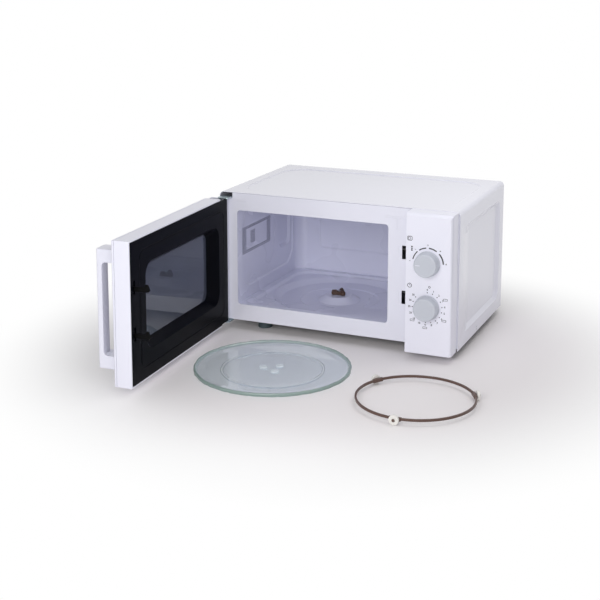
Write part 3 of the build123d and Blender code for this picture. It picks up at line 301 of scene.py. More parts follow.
def linear(hexes):
    """Linear colour of an sRGB hex value."""
    parts = [int(hexes[i:i + 2], 16) / 255 for i in (0, 2, 4)]
    return [p / 12.92 if p <= 0.04045 else ((p + 0.055) / 1.055) ** 2.4 for p in parts] + [1.0]


def tune(node, settings):
    """Sets the values of a node's inputs."""
    for key, value in settings.items():
        node.inputs[key].default_value = value


def wire(tree, node, links):
    """Links outputs of other nodes to a node's inputs."""
    for key, source in links.items():
        tree.links.new(source, node.inputs[key])


def add(tree, kind, settings=None, links=None, **values):
    """Adds a node, sets its attributes and socket values, and links its inputs."""
    node = tree.nodes.new("ShaderNode" + kind)
    for key, value in values.items():
        setattr(node, key, value)
    tune(node, settings or {})
    wire(tree, node, links or {})
    return node


def blend(tree, first, second, share):
    """Colour between two, given as linear values, by the share of the second."""
    mix = add(tree, "Mix", {6: first, 7: second}, {0: share}, data_type="RGBA")
    return mix.outputs[2]


def emboss(tree, shader, height, relief, strength=1.0):
    """Gives a shader's surface a relief, in mm, by a height between 0 and 1."""
    bump = add(tree, "Bump", {"Strength": strength, "Distance": relief * MM}, {"Height": height})
    wire(tree, shader, {"Normal": bump.outputs["Normal"]})


def any_ray(tree, *kinds):
    """Output that is 1 for a ray of any of the kinds, and 0 for the others."""
    path = add(tree, "LightPath")
    found = path.outputs[f"Is {kinds[0]} Ray"]
    for kind in kinds[1:]:
        pair = {0: found, 1: path.outputs[f"Is {kind} Ray"]}
        found = add(tree, "Math", None, pair, operation="MAXIMUM").outputs[0]
    return found


def surface(tree, share, first, second):
    """Makes the material or world a mix of two shaders, by the share of the second."""
    mix = add(tree, "MixShader", None, {0: share, 1: first.outputs[0], 2: second.outputs[0]})
    output = tree.nodes.get("Material Output") or tree.nodes["World Output"]
    wire(tree, output, {"Surface": mix.outputs[0]})


def start(name, slot=None):
    """New material with a Principled shader; returns its tree, shader and Object coordinates."""
    material = bpy.data.materials.new(name)
    material.use_nodes = True
    tree = material.node_tree
    shader = tree.nodes["Principled BSDF"]
    spot = add(tree, "TexCoord").outputs["Object"]
    if slot:
        finishes[slot] = material
    return material, tree, shader, spot


def uneven(tree, shader, spot, base, grain, relief, rough, spread=0.06, shade=0.05, patch=70.0):
    """Slightly uneven colour, gloss and relief; returns the colour.

    Grain and patch are sizes in mm, and relief is its depth in mm.
    """
    fine = add(tree, "TexNoise", {"Scale": 1 / (grain * MM), "Detail": 3.0}, {"Vector": spot})
    broad = add(tree, "TexNoise", {"Scale": 1 / (patch * MM), "Detail": 2.0}, {"Vector": spot})
    dark = [c * (1 - shade) for c in base[:3]] + [1.0]
    tone = blend(tree, dark, base, broad.outputs["Fac"])
    gloss = add(tree, "MapRange", {"To Min": rough, "To Max": rough + spread},
                {"Value": broad.outputs["Fac"]})
    wire(tree, shader, {"Base Color": tone, "Roughness": gloss.outputs["Result"]})
    emboss(tree, shader, fine.outputs["Fac"], relief)
    return tone


def gloss_paint(slot, name, hexes, rough=0.2):
    """Baked gloss powder coat: a faint orange peel, about 4 mm wide, makes the reflections wavy."""
    _, tree, shader, spot = start(name, slot)
    uneven(tree, shader, spot, linear(hexes), grain=4.0, relief=0.0015, rough=rough,
           spread=0.03, shade=0.012, patch=180.0)
    tune(shader, {"IOR": 1.5, "Coat Weight": 0.25, "Coat Roughness": 0.08})


def oven_enamel(hexes):
    """Fired semi-gloss enamel: broad soft highlights, a fine pebbled skin and pale lilac shade."""
    _, tree, shader, spot = start("semi_gloss_oven_enamel", "cavity_enamel")
    uneven(tree, shader, spot, linear(hexes), grain=2.5, relief=0.0015, rough=0.26,
           spread=0.03, shade=0.015, patch=120.0)
    tune(shader, {"IOR": 1.52, "Coat Weight": 0.15, "Coat Roughness": 0.12})


def moulded(slot, name, hexes, rough, grain=0.8, relief=0.002, shade=0.02, specular=0.5):
    """Injection-moulded plastic: even colour with a fine satin skin.

    The grain is drawn coarser than the real spark texture, so that it shows.
    """
    _, tree, shader, spot = start(name, slot)
    uneven(tree, shader, spot, linear(hexes), grain, relief, rough, shade=shade, patch=60.0)
    tune(shader, {"IOR": 1.53, "Specular IOR Level": specular})


def bare_metal(slot, name, hexes, rough, stretch=(1.0, 1.0, 1.0), spangle=0.0):
    """Sheet or drawn metal: a grain along the stretch blurs the reflections.

    Spangle is the size in mm of the crystals that mottle zinc.
    """
    _, tree, shader, spot = start(name, slot)
    way = add(tree, "Mapping", {"Scale": stretch}, {"Vector": spot}).outputs["Vector"]
    tone = uneven(tree, shader, way, linear(hexes), grain=0.6, relief=0.004, rough=rough,
                  spread=0.14, shade=0.16, patch=18.0)
    tune(shader, {"Metallic": 1.0})
    if spangle:
        cells = add(tree, "TexVoronoi", {"Scale": 1 / (spangle * MM)}, {"Vector": spot})
        flake = add(tree, "Mix", {0: 0.16}, {6: tone, 7: cells.outputs["Color"]},
                    data_type="RGBA", blend_type="SOFT_LIGHT")
        grey = add(tree, "HueSaturation", {"Saturation": 0.35}, {"Color": flake.outputs[2]})
        wire(tree, shader, {"Base Color": grey.outputs["Color"]})


def glass(slot, name, hexes, rough=0.0, ripple=0.0, thick=0.0):
    """Soda-lime glass: sharp reflections and a tint; shadows stay pale, as light passes through.

    Ripple is the size in mm of waves in its skin, and thick is how green its depth is.
    """
    material, tree, shader, spot = start(name, slot)
    base = linear(hexes)
    tune(shader, {"Base Color": base, "Transmission Weight": 1.0, "IOR": 1.5, "Roughness": rough})
    if ripple:
        skin = add(tree, "TexNoise", {"Scale": 1 / (ripple * MM), "Detail": 2.0}, {"Vector": spot})
        emboss(tree, shader, skin.outputs["Fac"], 0.02)
    clear = add(tree, "BsdfTransparent", {"Color": base})
    surface(tree, any_ray(tree, "Shadow", "Diffuse"), shader, clear)
    if thick:
        body = add(tree, "VolumeAbsorption", {"Color": linear("B4DCCB"), "Density": thick})
        wire(tree, tree.nodes["Material Output"], {"Volume": body.outputs[0]})
    return material


def from_axis(tree, spot, centre):
    """Output that gives the distance of a place from the upright line through the centre."""
    shift = {"Location": (-centre.x, -centre.y, 0), "Scale": (1, 1, 0)}
    away = add(tree, "Mapping", shift, {"Vector": spot})
    distance = add(tree, "VectorMath", None, {0: away.outputs["Vector"]}, operation="LENGTH")
    return distance.outputs["Value"]


def plate_glass():
    """Pressed glass plate: a clear rim with a green edge of painted light, and a fine stipple that frosts
    its middle.
    """
    frosted, fade = 78, 4
    # the pressed stipple is about 1 mm; it is drawn wider so that it shows
    stipple_width = 1.6
    painted_edge_start, painted_edge_full = 6.5, 2.0
    material = glass("plate_glass", "pressed_plate_glass", "FDFEFF", rough=0.03, thick=7.0)
    tree = material.node_tree
    shader = tree.nodes["Principled BSDF"]
    low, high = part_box("glass_plate")
    centre = (low + high) / 2
    radius = (high.x - low.x) / 2
    spot = add(tree, "TexCoord").outputs["Object"]
    distance = from_axis(tree, spot, centre)
    start_fade, end_fade = frosted * MM, (frosted + fade) * MM
    frost = add(tree, "MapRange",
                {"From Min": start_fade, "From Max": end_fade, "To Min": 1.0, "To Max": 0.0},
                {"Value": distance}).outputs["Result"]
    stipple = add(tree, "TexVoronoi", {"Scale": 1 / (stipple_width * MM)}, {"Vector": spot})
    depth = add(tree, "Math", None, {0: stipple.outputs["Distance"], 1: frost}, operation="MULTIPLY")
    emboss(tree, shader, depth.outputs["Value"], 0.1, strength=0.5)
    rough = add(tree, "MapRange", {"To Min": 0.02, "To Max": 0.14}, {"Value": frost})
    # painted light: the cloudy grey-green edge is a diffuse colour that stands in for light caught inside
    # the thick rim; the glass's own green tint comes from its absorbing depth
    band = add(tree, "MapRange",
               {"From Min": radius - painted_edge_start * MM, "From Max": radius - painted_edge_full * MM},
               {"Value": distance}).outputs["Result"]
    clear = add(tree, "MapRange", {"To Min": 0.86, "To Max": 0.3}, {"Value": band})
    wire(tree, shader, {
        "Base Color": blend(tree, linear("E9EFF4"), linear("8FA39D"), band),
        "Transmission Weight": clear.outputs["Result"],
        "Roughness": rough.outputs["Result"],
    })


def lug_glass():
    """Pressed glass of the small lugs: cloudy and white as a painted highlight, for the light that
    gathers in them.
    """
    material = glass("lug_glass_painted_glint", "pressed_lug_glass_painted_highlight", "F6FAFC", rough=0.08)
    # the diffuse white share below is a painted highlight
    tune(material.node_tree.nodes["Principled BSDF"], {"Transmission Weight": 0.45})
    return material


def screen_sheet(pitch):
    """Door screen: dark painted steel pierced by fine holes, seen as dots in staggered rows.

    The real holes are about 1.2 mm apart; they are drawn at the wider pitch so that they show.
    """
    _, tree, shader, spot = start("pierced_screen_sheet", "screen_paint")
    split = add(tree, "SeparateXYZ", None, {0: spot})
    flat = add(tree, "CombineXYZ", None, {0: split.outputs["Y"], 1: split.outputs["Z"]})
    turned = add(tree, "Mapping", {"Rotation": (0, 0, math.radians(45))}, {"Vector": flat.outputs[0]})
    holes = add(tree, "TexVoronoi", {"Scale": 1 / pitch, "Randomness": 0.0},
                {"Vector": turned.outputs["Vector"]}, voronoi_dimensions="2D")
    edge = add(tree, "MapRange", {"From Min": 0.30, "From Max": 0.42, "To Min": 0.0, "To Max": 1.0},
               {"Value": holes.outputs["Distance"]}).outputs["Result"]
    wire(tree, shader, {"Base Color": blend(tree, linear("0B0C10"), linear("666A78"), edge)})
    emboss(tree, shader, edge, 0.2)
    tune(shader, {"Roughness": 0.38})


def layered(slot, name, axis, pitch, dark, light, relief, distortion, metallic, rough):
    """Close layers along an axis: ridges a pitch apart in mm, from a dark groove to a light crest; on
    wound wire the dark is painted shade and the light a painted highlight, on laminations the dark lines
    are the joints.
    """
    # the wave texture repeats about every 0.32 of its unit
    _, tree, shader, spot = start(name, slot)
    ridges_joints_and_painted_shade = add(tree, "TexWave", {"Scale": 0.32 / MM / pitch, "Distortion": distortion}, {"Vector": spot},
                bands_direction=axis)
    # across each ridge the colour runs from a dark groove to a light crest: painted shade and a painted
    # highlight on wound wire, real joint lines on laminations
    wire(tree, shader, {"Base Color": blend(tree, linear(dark), linear(light), ridges_joints_and_painted_shade.outputs["Fac"])})
    emboss(tree, shader, ridges_joints_and_painted_shade.outputs["Fac"], relief)
    tune(shader, {"Metallic": metallic, "Roughness": rough})


def wound_copper():
    """Enamelled copper wire laid in close turns: fine ridges and an orange-brown metal gloss, with
    painted shade in the grooves and a painted highlight on the crests.
    """
    layered("copper_wire", "enamelled_copper_wire", "Z", pitch=2, dark="7A3A18", light="C57B45",
            relief=0.3, distortion=0.4, metallic=0.8, rough=0.3)


def laminations():
    """Varnished core laminations: hair lines between 0.5 mm sheets, drawn 1.5 mm apart to show."""
    layered("core_steel", "varnished_laminations", "Y", pitch=1.5, dark="2A2A2E", light="57575D",
            relief=0.15, distortion=0.1, metallic=0.7, rough=0.42)


def circuit_board():
    """Glass-epoxy board: green solder mask with paler copper runs that show through."""
    _, tree, shader, spot = start("solder_masked_board", "board_green")
    colours = {"Color1": linear("1E5B30"), "Color2": linear("256B39"), "Mortar": linear("4C9159")}
    runs = add(tree, "TexBrick", {"Scale": 60.0, "Mortar Size": 0.03} | colours, {"Vector": spot})
    wire(tree, shader, {"Base Color": runs.outputs["Color"]})
    emboss(tree, shader, runs.outputs["Fac"], 0.08)
    tune(shader, {"Roughness": 0.35})


def mica_board():
    """Pressed mica: pearly overlapping flakes, about 5 mm wide, with a silky gloss."""
    _, tree, shader, spot = start("pressed_mica_board", "mica")
    flakes = add(tree, "TexVoronoi", {"Scale": 1 / (5 * MM)}, {"Vector": spot}, feature="SMOOTH_F1")
    rough = add(tree, "MapRange", {"To Min": 0.3, "To Max": 0.5}, {"Value": flakes.outputs["Distance"]})
    wire(tree, shader, {
        "Base Color": blend(tree, linear("B7AC94"), linear("DAD2BF"), flakes.outputs["Distance"]),
        "Roughness": rough.outputs["Result"],
    })


def coupler_plastic():
    """Glass-filled brown moulding with a rough, crumbly, mottled skin."""
    material, tree, shader, spot = start("glass_filled_brown_moulding")
    uneven(tree, shader, spot, linear("5E463C"), grain=1.6, relief=0.35, rough=0.5,
           spread=0.2, shade=0.45, patch=5.0)
    return material


def smoked_pane():
    """Smoked acrylic front pane: nearly black from outside, with sharp reflections."""
    material, tree, shader, spot = start("smoked_acrylic_pane")
    uneven(tree, shader, spot, linear("15171F"), grain=30.0, relief=0.02, rough=0.05,
           spread=0.03, shade=0.1, patch=120.0)
    tune(shader, {"IOR": 1.49})
    return material


def ink(hexes):
    """Pad-printed dial ink: flat dark grey, a little uneven where it was pressed on."""
    material, tree, shader, spot = start("pad_printed_ink")
    uneven(tree, shader, spot, linear(hexes), grain=1.5, relief=0.002, rough=0.5, shade=0.2, patch=8.0)
    return material


def hole_shade():
    """Painted shade inside small vent holes: a darker enamel colour stands in for the enamel edges in
    shade.
    """
    material, tree, shader, spot = start("vent_hole_painted_shade")
    uneven(tree, shader, spot, linear("62657F"), grain=1.0, relief=0.01, rough=0.6,
           shade=0.25, patch=12.0)
    return material


def make_finishes(colours, sizes):
    """Makes the finish of every material slot of the record."""
    gloss_paint("cover_paint", "white_gloss_powder_coat", colours.paint)
    gloss_paint("frame_paint", "white_gloss_frame_paint", colours.paint, 0.24)
    oven_enamel(colours.enamel)
    moulded("white_plastic", "white_moulded_abs", colours.moulding, 0.26)
    moulded("knob_plastic", "silver_grey_moulded_abs", colours.knobs, 0.3, grain=0.6, relief=0.004)
    moulded("black_plastic", "navy_black_gloss_abs", colours.cover, 0.3, grain=2.5, relief=0.001,
            shade=0.1, specular=0.04)
    moulded("hook_plastic", "black_moulded_acetal", "030304", 0.5, shade=0.2, specular=0.08)
    moulded("brown_plastic", "brown_heat_resistant_moulding", "5B4238", 0.36, grain=1.0, relief=0.02,
            shade=0.2)
    moulded("wheel_plastic", "white_low_friction_moulding", "E4E2DD", 0.38)
    moulded("case_plastic", "black_moulded_nylon", "18181A", 0.5, shade=0.06)
    moulded("duct_plastic", "dark_grey_polypropylene", "3B3B3E", 0.5, grain=1.2, relief=0.02,
            shade=0.12)
    moulded("foot_rubber", "dark_grey_moulded_rubber", "3C4A50", 0.62, grain=1.0, relief=0.03,
            shade=0.15)
    moulded("socket_ceramic", "glazed_porcelain", "E8E3D8", 0.16, grain=3.0, relief=0.01)
    bare_metal("zinc_sheet", "galvanised_steel_sheet", "B4B8BC", 0.34, spangle=9.0)
    bare_metal("hinge_zinc", "blue_passivated_zinc_plate", "8FC0CE", 0.3, spangle=4.0)
    bare_metal("spring_steel", "drawn_spring_wire", "8F9196", 0.25, stretch=(1, 1, 0.2))
    bare_metal("steel_part", "plain_turned_steel", "9C9CA0", 0.3, stretch=(1, 1, 0.2))
    bare_metal("screw_steel", "nickel_plated_screw", "B9BABE", 0.22)
    bare_metal("fin_aluminium", "mill_finish_aluminium", "CFD1D3", 0.32, stretch=(0.1, 1, 1))
    bare_metal("can_aluminium", "drawn_aluminium_can", "C3C5C8", 0.28, stretch=(1, 1, 0.15))
    glass("clear_pane", "clear_door_pane", "DCE2EA")
    glass("lamp_glass", "clear_lamp_bulb", "F4F0E4", ripple=6.0)
    plate_glass()
    screen_sheet(sizes.screen_pitch)
    wound_copper()
    laminations()
    circuit_board()
    mica_board()


# ---- pieces -------------------------------------------------------------------------
class OVEN_OT_finishes(bpy.types.Operator):
    """Make the finishes and give each CAD node its own"""

    bl_idname = "oven.finishes"
    bl_label = "Finishes"

    def execute(self, context):
        make_finishes(context.scene.oven_colours, context.scene.oven_sizes)
        for node, piece in frame["nodes"].items():
            piece.data.materials.clear()
            piece.data.materials.append(finishes[slots[node]])
        return {"FINISHED"}


class OVEN_OT_cabinet(bpy.types.Operator):
    """Dress the cabinet's cover, front frame, base and back"""

    bl_idname = "oven.cabinet"
    bl_label = "Cabinet"

    def execute(self, context):
        sizes = context.scene.oven_sizes
        self.cover(sizes.crease)
        dressed("front_frame", 0.4 * MM, sizes.sharp_crease)
        dressed("rear_panel")
        dressed("base_plate")
        dressed("feet", 1.0 * MM)
        dressed("case_screws", 0.3 * MM)
        for name, z in (("side_hole_upper", 22.6), ("side_hole_lower", 18.3)):
            self.side_hole(name, z)
        return {"FINISHED"}

    def cover(self, crease):
        """Wrapper with softly pressed sides, and a crisper line pressed in its top."""
        sides_below, top_above = 235, 247
        cover = merged_copy("outer_cover", "outer_cover_dressed")
        round_edges(cover, crease, where=lambda spot: spot.z < sides_below)
        round_edges(cover, 0.35 * MM, where=lambda spot: spot.z > top_above)
        finish_mesh(cover, 0.3 * MM)
        fit(cover, "outer_cover")

    def side_hole(self, name, z):
        """Small dimple low in the cover's right side, dark with painted shade: the feet's dark grey
        rubber stands in for the shade inside the hole.
        """
        face, y = 219.97, 116
        rim, bottom, depth = 1.5, 0.9, 0.1
        profile = [(rim, 0), (rim, depth), (1.1, depth), (bottom, -depth), (0, -depth)]
        centre = at(face, y, z)
        hole = lathe(name, centre, profile, 20)
        turn = Matrix.Rotation(math.radians(90), 4, "Y")
        hole.data.transform(Matrix.Translation(centre) @ turn @ Matrix.Translation(-centre))
        finish_mesh(hole)
        # the feet's dark rubber finish is used here as painted shade inside the hole
        fit(hole, "outer_cover", finishes["foot_rubber"], replaces=False)


class OVEN_OT_cavity(bpy.types.Operator):
    """Dress the oven's inside and lay the vent holes on its left wall"""

    bl_idname = "oven.cavity"
    bl_label = "Oven inside"

    def execute(self, context):
        sizes = context.scene.oven_sizes
        dressed("oven_cavity", 0.3 * MM, sizes.oven_crease)
        dressed("oven_floor", 0.3 * MM, sizes.oven_crease)
        self.vent_holes(sizes.hole_pitch)
        dressed("waveguide_cover", 0.1 * MM)
        return {"FINISHED"}

    def vent_holes(self, pitch):
        """Staggered holes in a band round a rectangle, with a small cluster in its middle."""
        # each is the lowest and the highest (y, z)
        band = (20.5, 129.5), (146.0, 180.0)
        hollow = (41, 136.5), (129, 173)
        cluster = (58, 144), (77, 168)
        wall, lip, depth = -188.85, 0.25, 0.02
        radius = 0.33 * pitch
        (front, bottom), (back, top) = band

        def within(spot, low, high):
            return low[0] < spot.y < high[0] and low[1] < spot.z < high[1]

        deselect()
        bpy.ops.mesh.primitive_circle_add(
            vertices=8, radius=radius, fill_type="NGON",
            location=at(wall, front + 2, bottom + 1.5), rotation=(0, math.radians(90), 0))
        holes = bpy.context.object
        place(holes)
        # the rows lie apart by the height of a triangle whose sides are one pitch
        row = pitch / MM
        rise = row * 0.866
        along, up = (0, row, 0), (0, row / 2, rise)
        for shift, count in ((along, (back - front) / row), (up, (top - bottom) / rise)):
            array = holes.modifiers.new("row", "ARRAY")
            array.use_relative_offset = False
            array.use_constant_offset = True
            array.constant_offset_displace = Vector(shift) * MM
            array.count = int(count)
            activate(holes)
            bpy.ops.object.modifier_apply(modifier=array.name)
        # every other row goes back by one pitch, so that the stagger doesn't lean
        for corner in holes.data.vertices:
            lean = int((on_drawing(corner.co).z - bottom) / rise + 0.2) // 2
            corner.co.y -= lean * pitch
        mesh = edit(holes, "FACE")
        for face in mesh.faces:
            spot = on_drawing(face.calc_center_median())
            bare = within(spot, *hollow) and not within(spot, *cluster)
            if bare or not within(spot, *band):
                face.select_set(True)
        bmesh.update_edit_mesh(holes.data)
        bpy.ops.mesh.delete(type="FACE")
        bpy.ops.mesh.select_all(action="SELECT")
        bpy.ops.mesh.inset(thickness=lip * MM, depth=-depth * MM)
        bpy.ops.object.mode_set(mode="OBJECT")
        named(holes, "cavity_vent_holes")
        # the vent-hole discs carry painted shade, a darker enamel colour, for the inside of the holes
        fit(holes, "oven_cavity", hole_shade(), replaces=False)


class OVEN_OT_panel(bpy.types.Operator):
    """Dress the control panel and print its dial marks"""

    bl_idname = "oven.panel"
    bl_label = "Control panel"

    def execute(self, context):
        sizes = context.scene.oven_sizes
        dressed("control_panel", 0.8 * MM)
        marks = self.power_marks(sizes) + self.timer_marks(sizes)
        piece = join(marks, "dial_marks")
        fit(piece, "control_panel", ink(context.scene.oven_colours.print), replaces=False)
        return {"FINISHED"}

    def dial(self, joint):
        """Point on the panel's face, just proud of it, that a dial turns about."""
        proud = 0.06
        spot = Vector(joints[joint]["pos_m"])
        spot.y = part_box("control_panel")[0].y - proud * MM
        return spot

    def towards(self, degrees):
        """Direction on the panel at a clock angle, from the left over the top."""
        turn = math.radians(degrees)
        return Vector((-math.cos(turn), 0, math.sin(turn)))

    def flat(self, piece):
        """Makes a printed mark a mesh, with its place and size in it."""
        activate(piece)
        if piece.type != "MESH":
            bpy.ops.object.convert(target="MESH")
            piece = bpy.context.object
        place(piece)
        return piece

    def arc(self, centre, radius, start, end, width):
        """Printed arc between two clock angles: a line across its width, spun round the centre."""
        hair, step = 0.01, 4
        deselect()
        bpy.ops.mesh.primitive_plane_add(
            size=1, location=centre + self.towards(start) * radius,
            rotation=(math.radians(90), math.radians(start), 0))
        piece = bpy.context.object
        piece.scale = (width, hair * MM, 1)
        place(piece)
        edit(piece)
        bpy.ops.mesh.select_all(action="SELECT")
        bpy.ops.mesh.delete(type="ONLY_FACE")
        mesh = bmesh.from_edit_mesh(piece.data)
        inner = min(mesh.verts, key=lambda corner: (corner.co - centre).length)
        outer = max(mesh.verts, key=lambda corner: (corner.co - centre).length)
        for corner in list(mesh.verts):
            if corner not in (inner, outer):
                mesh.verts.remove(corner)
        mesh.edges.new((inner, outer))
        bmesh.update_edit_mesh(piece.data)
        bpy.ops.mesh.select_all(action="SELECT")
        bpy.ops.mesh.spin(
            steps=max(4, int((end - start) / step)), angle=math.radians(start - end),
            center=centre, axis=(0, 1, 0))
        bpy.ops.object.mode_set(mode="OBJECT")
        return piece

    def hollowed(self, piece, line):
        """Leaves only a line of the given width along a flat piece's outline."""
        bpy.ops.mesh.select_mode(type="FACE")
        bpy.ops.mesh.select_all(action="SELECT")
        bpy.ops.mesh.inset(thickness=line)
        bpy.ops.mesh.delete(type="FACE")
        bpy.ops.object.mode_set(mode="OBJECT")
        return piece

    def disc(self, centre, radius, corners, stretch=(1, 1, 1)):
        """Printed dot, oval or, with three corners, triangle."""
        deselect()
        bpy.ops.mesh.primitive_circle_add(
            vertices=corners, radius=radius, fill_type="NGON", location=centre,
            rotation=(math.radians(90), 0, 0))
        piece = bpy.context.object
        piece.scale = stretch
        return self.flat(piece)

    def ring(self, centre, radius, line):
        """Printed circle."""
        piece = self.disc(centre, radius, 20)
        edit(piece, "FACE")
        return self.hollowed(piece, line)

    def digits(self, words, centre, height):
        """Number in the built-in font, made a little bolder."""
        # a font size is larger than the height of its digits
        bolder, size = 0.12, 1.35
        deselect()
        bpy.ops.object.text_add(location=centre, rotation=(math.radians(90), 0, 0))
        piece = bpy.context.object
        piece.data.body = words
        piece.data.align_x = "CENTER"
        piece.data.align_y = "CENTER"
        piece.data.size = height * size
        piece.data.resolution_u = 2
        piece.data.offset = bolder * MM
        return self.flat(piece)

    def box(self, centre, width, height, line):
        """Outline of a small rounded label."""
        corner = 0.25
        deselect()
        bpy.ops.mesh.primitive_plane_add(size=1, location=centre, rotation=(math.radians(90), 0, 0))
        piece = bpy.context.object
        piece.scale = (width, height, 1)
        place(piece)
        edit(piece, "VERT")
        bpy.ops.mesh.select_all(action="SELECT")
        bpy.ops.mesh.bevel(offset=height * corner, segments=3, affect="VERTICES")
        return self.hollowed(piece, line)

    def power_marks(self, sizes):
        """Arcs that widen with the power, a sign at each end of them, and the knob's own signs."""
        centre = self.dial("power_turn")
        radius = sizes.power_arc
        arcs = ((12, 47, 1.7), (55, 83, 1.9), (93, 124, 2.1), (136, 177, 2.3))
        marks = [self.arc(centre, radius, start, end, width * MM) for start, end, width in arcs]
        reach = radius + 4.8 * MM
        dash, oval = (1.4, 0.35, 1), (1.1, 0.8, 1)
        for angle in (4, 46):
            marks.append(self.disc(centre + self.towards(angle) * reach, 1.0 * MM, 12, dash))
        marks.append(self.ring(centre + self.towards(89) * reach, 1.2 * MM, 0.4 * MM))
        for angle in (132, 176):
            marks.append(self.disc(centre + self.towards(angle) * reach, 1.6 * MM, 3))
        for step in range(3):
            spot = centre + Vector((-27.6, 0, 20.4 + 3.0 * step)) * MM
            marks.append(self.disc(spot, 1.5 * MM, 12, oval))
        icon = centre + Vector((-31.2, 0, 40.0)) * MM
        marks.append(self.box(icon, 8.4 * MM, 7.6 * MM, 0.9 * MM))
        marks.append(self.box(icon - Vector((0.8, 0, 0)) * MM, 4.4 * MM, 4.4 * MM, 0.6 * MM))
        return marks

    def timer_marks(self, sizes):
        """Ring of dots with their minutes, labels beyond some of them, and the clock sign."""
        centre = self.dial("timer_turn")
        top, step, labelled = 90, 20.6, (3, 6, 9, 11)
        marks = []
        for index, name in enumerate([str(n) for n in range(11)] + ["15", "20", "25", "30", "35"]):
            way = self.towards(top + step * index)
            marks.append(self.disc(centre + way * sizes.timer_dots, 0.95 * MM, 10))
            spot = centre + way * (sizes.timer_dots + (4.2 + 0.5 * len(name)) * MM)
            marks.append(self.digits(name, spot, sizes.digit))
            if index in labelled:
                label = centre + way * (sizes.timer_dots + 9.4 * MM)
                marks.append(self.box(label, 7.6 * MM, 3.6 * MM, 0.7 * MM))
        clock = centre + Vector((-30.6, 0, 34.8)) * MM
        upright, level = (0.28, 1, 1), (1, 0.28, 1)
        marks.append(self.ring(clock, 3.9 * MM, 0.9 * MM))
        marks.append(self.disc(clock + Vector((0, 0, 1.2)) * MM, 1.5 * MM, 8, upright))
        marks.append(self.disc(clock + Vector((1.0, 0, 0.1)) * MM, 1.3 * MM, 8, level))
        marks.append(self.ring(centre + Vector((3.4, 0, 35.0)) * MM, 2.0 * MM, 0.8 * MM))
        return marks


class OVEN_OT_knobs(bpy.types.Operator):
    """Turn the two knobs, each with a bevelled rim, a raised grip edge and a pointer"""

    bl_idname = "oven.knobs"
    bl_label = "Knobs"

    def execute(self, context):
        self.make("power_knob", 180, "white_plastic")
        self.make("timer_knob", 90, "knob_plastic")
        return {"FINISHED"}

    def make(self, node, pointer, mark_slot):
        """One knob, with its pointer at an angle in degrees from the right, over the top."""
        low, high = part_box(node)
        back = Vector(((low.x + high.x) / 2, high.y, (low.z + high.z) / 2))
        skirt, tall = (high.x - low.x) / 2 / MM, (high.y - low.y) / MM
        grip, wall = skirt - 0.9, 2.6
        inside = [(0, tall - 3.0), (grip - wall, tall - 3.0), (skirt - wall, 0.0)]
        flange = [(skirt - 0.3, 0.0), (skirt, 0.3), (skirt, 2.5), (skirt - 0.3, 3.0)]
        side = [(grip, 3.1), (grip - 0.2, 3.4), (grip - 0.95, tall - 1.5), (grip - 1.15, tall - 0.9)]
        face = [(grip - 1.9, tall - 0.2), (grip - 2.5, tall), (grip - 3.6, tall),
                (grip - 4.0, tall - 0.12), (0, tall - 0.2)]
        knob = lathe(node + "_turned", back, inside + flange + side + face, 96, "Y")
        finish_mesh(knob)
        fit(knob, node)
        reach, sunk = 12.0, 0.17
        turn = math.radians(pointer)
        middle = back + Vector((math.cos(turn) * reach, -tall + sunk, math.sin(turn) * reach)) * MM
        deselect()
        bpy.ops.mesh.primitive_cube_add(size=1, location=middle, rotation=(0, -turn, 0))
        mark = bpy.context.object
        mark.scale = (7.4 * MM, 0.12 * MM, 0.9 * MM)
        place(mark)
        named(mark, node + "_pointer")
        round_edges(mark, 0.04 * MM, 80, 100, 1)
        finish_mesh(mark)
        fit(mark, node, finishes[mark_slot], replaces=False)


class OVEN_OT_door(bpy.types.Operator):
    """Dress the door: frame, black cover, panes, screen and handle"""

    bl_idname = "oven.door"
    bl_label = "Door"

    def execute(self, context):
        sizes = context.scene.oven_sizes
        dressed("door_frame", sizes.moulded_edge, sizes.sharp_crease)
        dressed("choke_cover", sizes.moulded_edge, sizes.crease)
        self.handle()
        dressed("door_pan")
        dressed("inner_window", 0.2 * MM)
        dressed("outer_window", 0.3 * MM, material=smoked_pane())
        return {"FINISHED"}

    def handle(self):
        """Bar handle on two feet; the back of the bar slopes away towards the hinge, for the fingers."""
        bar, foot, slope_run, slope_rise = 10.0, 21.0, 9.5, 7.0
        cutter_width, cutter_depth, clear = 44.0, 20.0, 1.0
        piece = merged_copy("door_handle", "door_handle_dressed")
        places = [on_drawing(corner.co, shut=True) for corner in piece.data.vertices]
        left, front = min(spot.x for spot in places), min(spot.y for spot in places)
        low, high = min(spot.z for spot in places), max(spot.z for spot in places)
        angle = math.atan2(slope_rise, slope_run)
        middle = (left + slope_run / 2 - math.sin(angle) * cutter_depth / 2,
                  front + bar - slope_rise / 2 + math.cos(angle) * cutter_depth / 2,
                  (low + high) / 2)
        deselect()
        bpy.ops.mesh.primitive_cube_add(size=1, location=at(*middle), rotation=(0, 0, angle))
        cutter = bpy.context.object
        cutter.scale = Vector((cutter_width, cutter_depth, high - low - 2 * (foot + clear))) * MM
        place(cutter)
        cutter.data.transform(DOOR_TURN)
        cut = piece.modifiers.new("finger_slope", "BOOLEAN")
        cut.object = cutter
        cut.solver = "EXACT"
        activate(piece)
        bpy.ops.object.modifier_apply(modifier=cut.name)
        bpy.data.objects.remove(cutter)
        finish_mesh(piece, 0.9 * MM)
        fit(piece, "door_handle")


class OVEN_OT_latch(bpy.types.Operator):
    """Dress the latch hooks and the hinges"""

    bl_idname = "oven.latch"
    bl_label = "Latch and hinges"

    def execute(self, context):
        dressed("latch_hooks", context.scene.oven_sizes.moulded_edge)
        dressed("hinge_top")
        dressed("hinge_bottom")
        return {"FINISHED"}


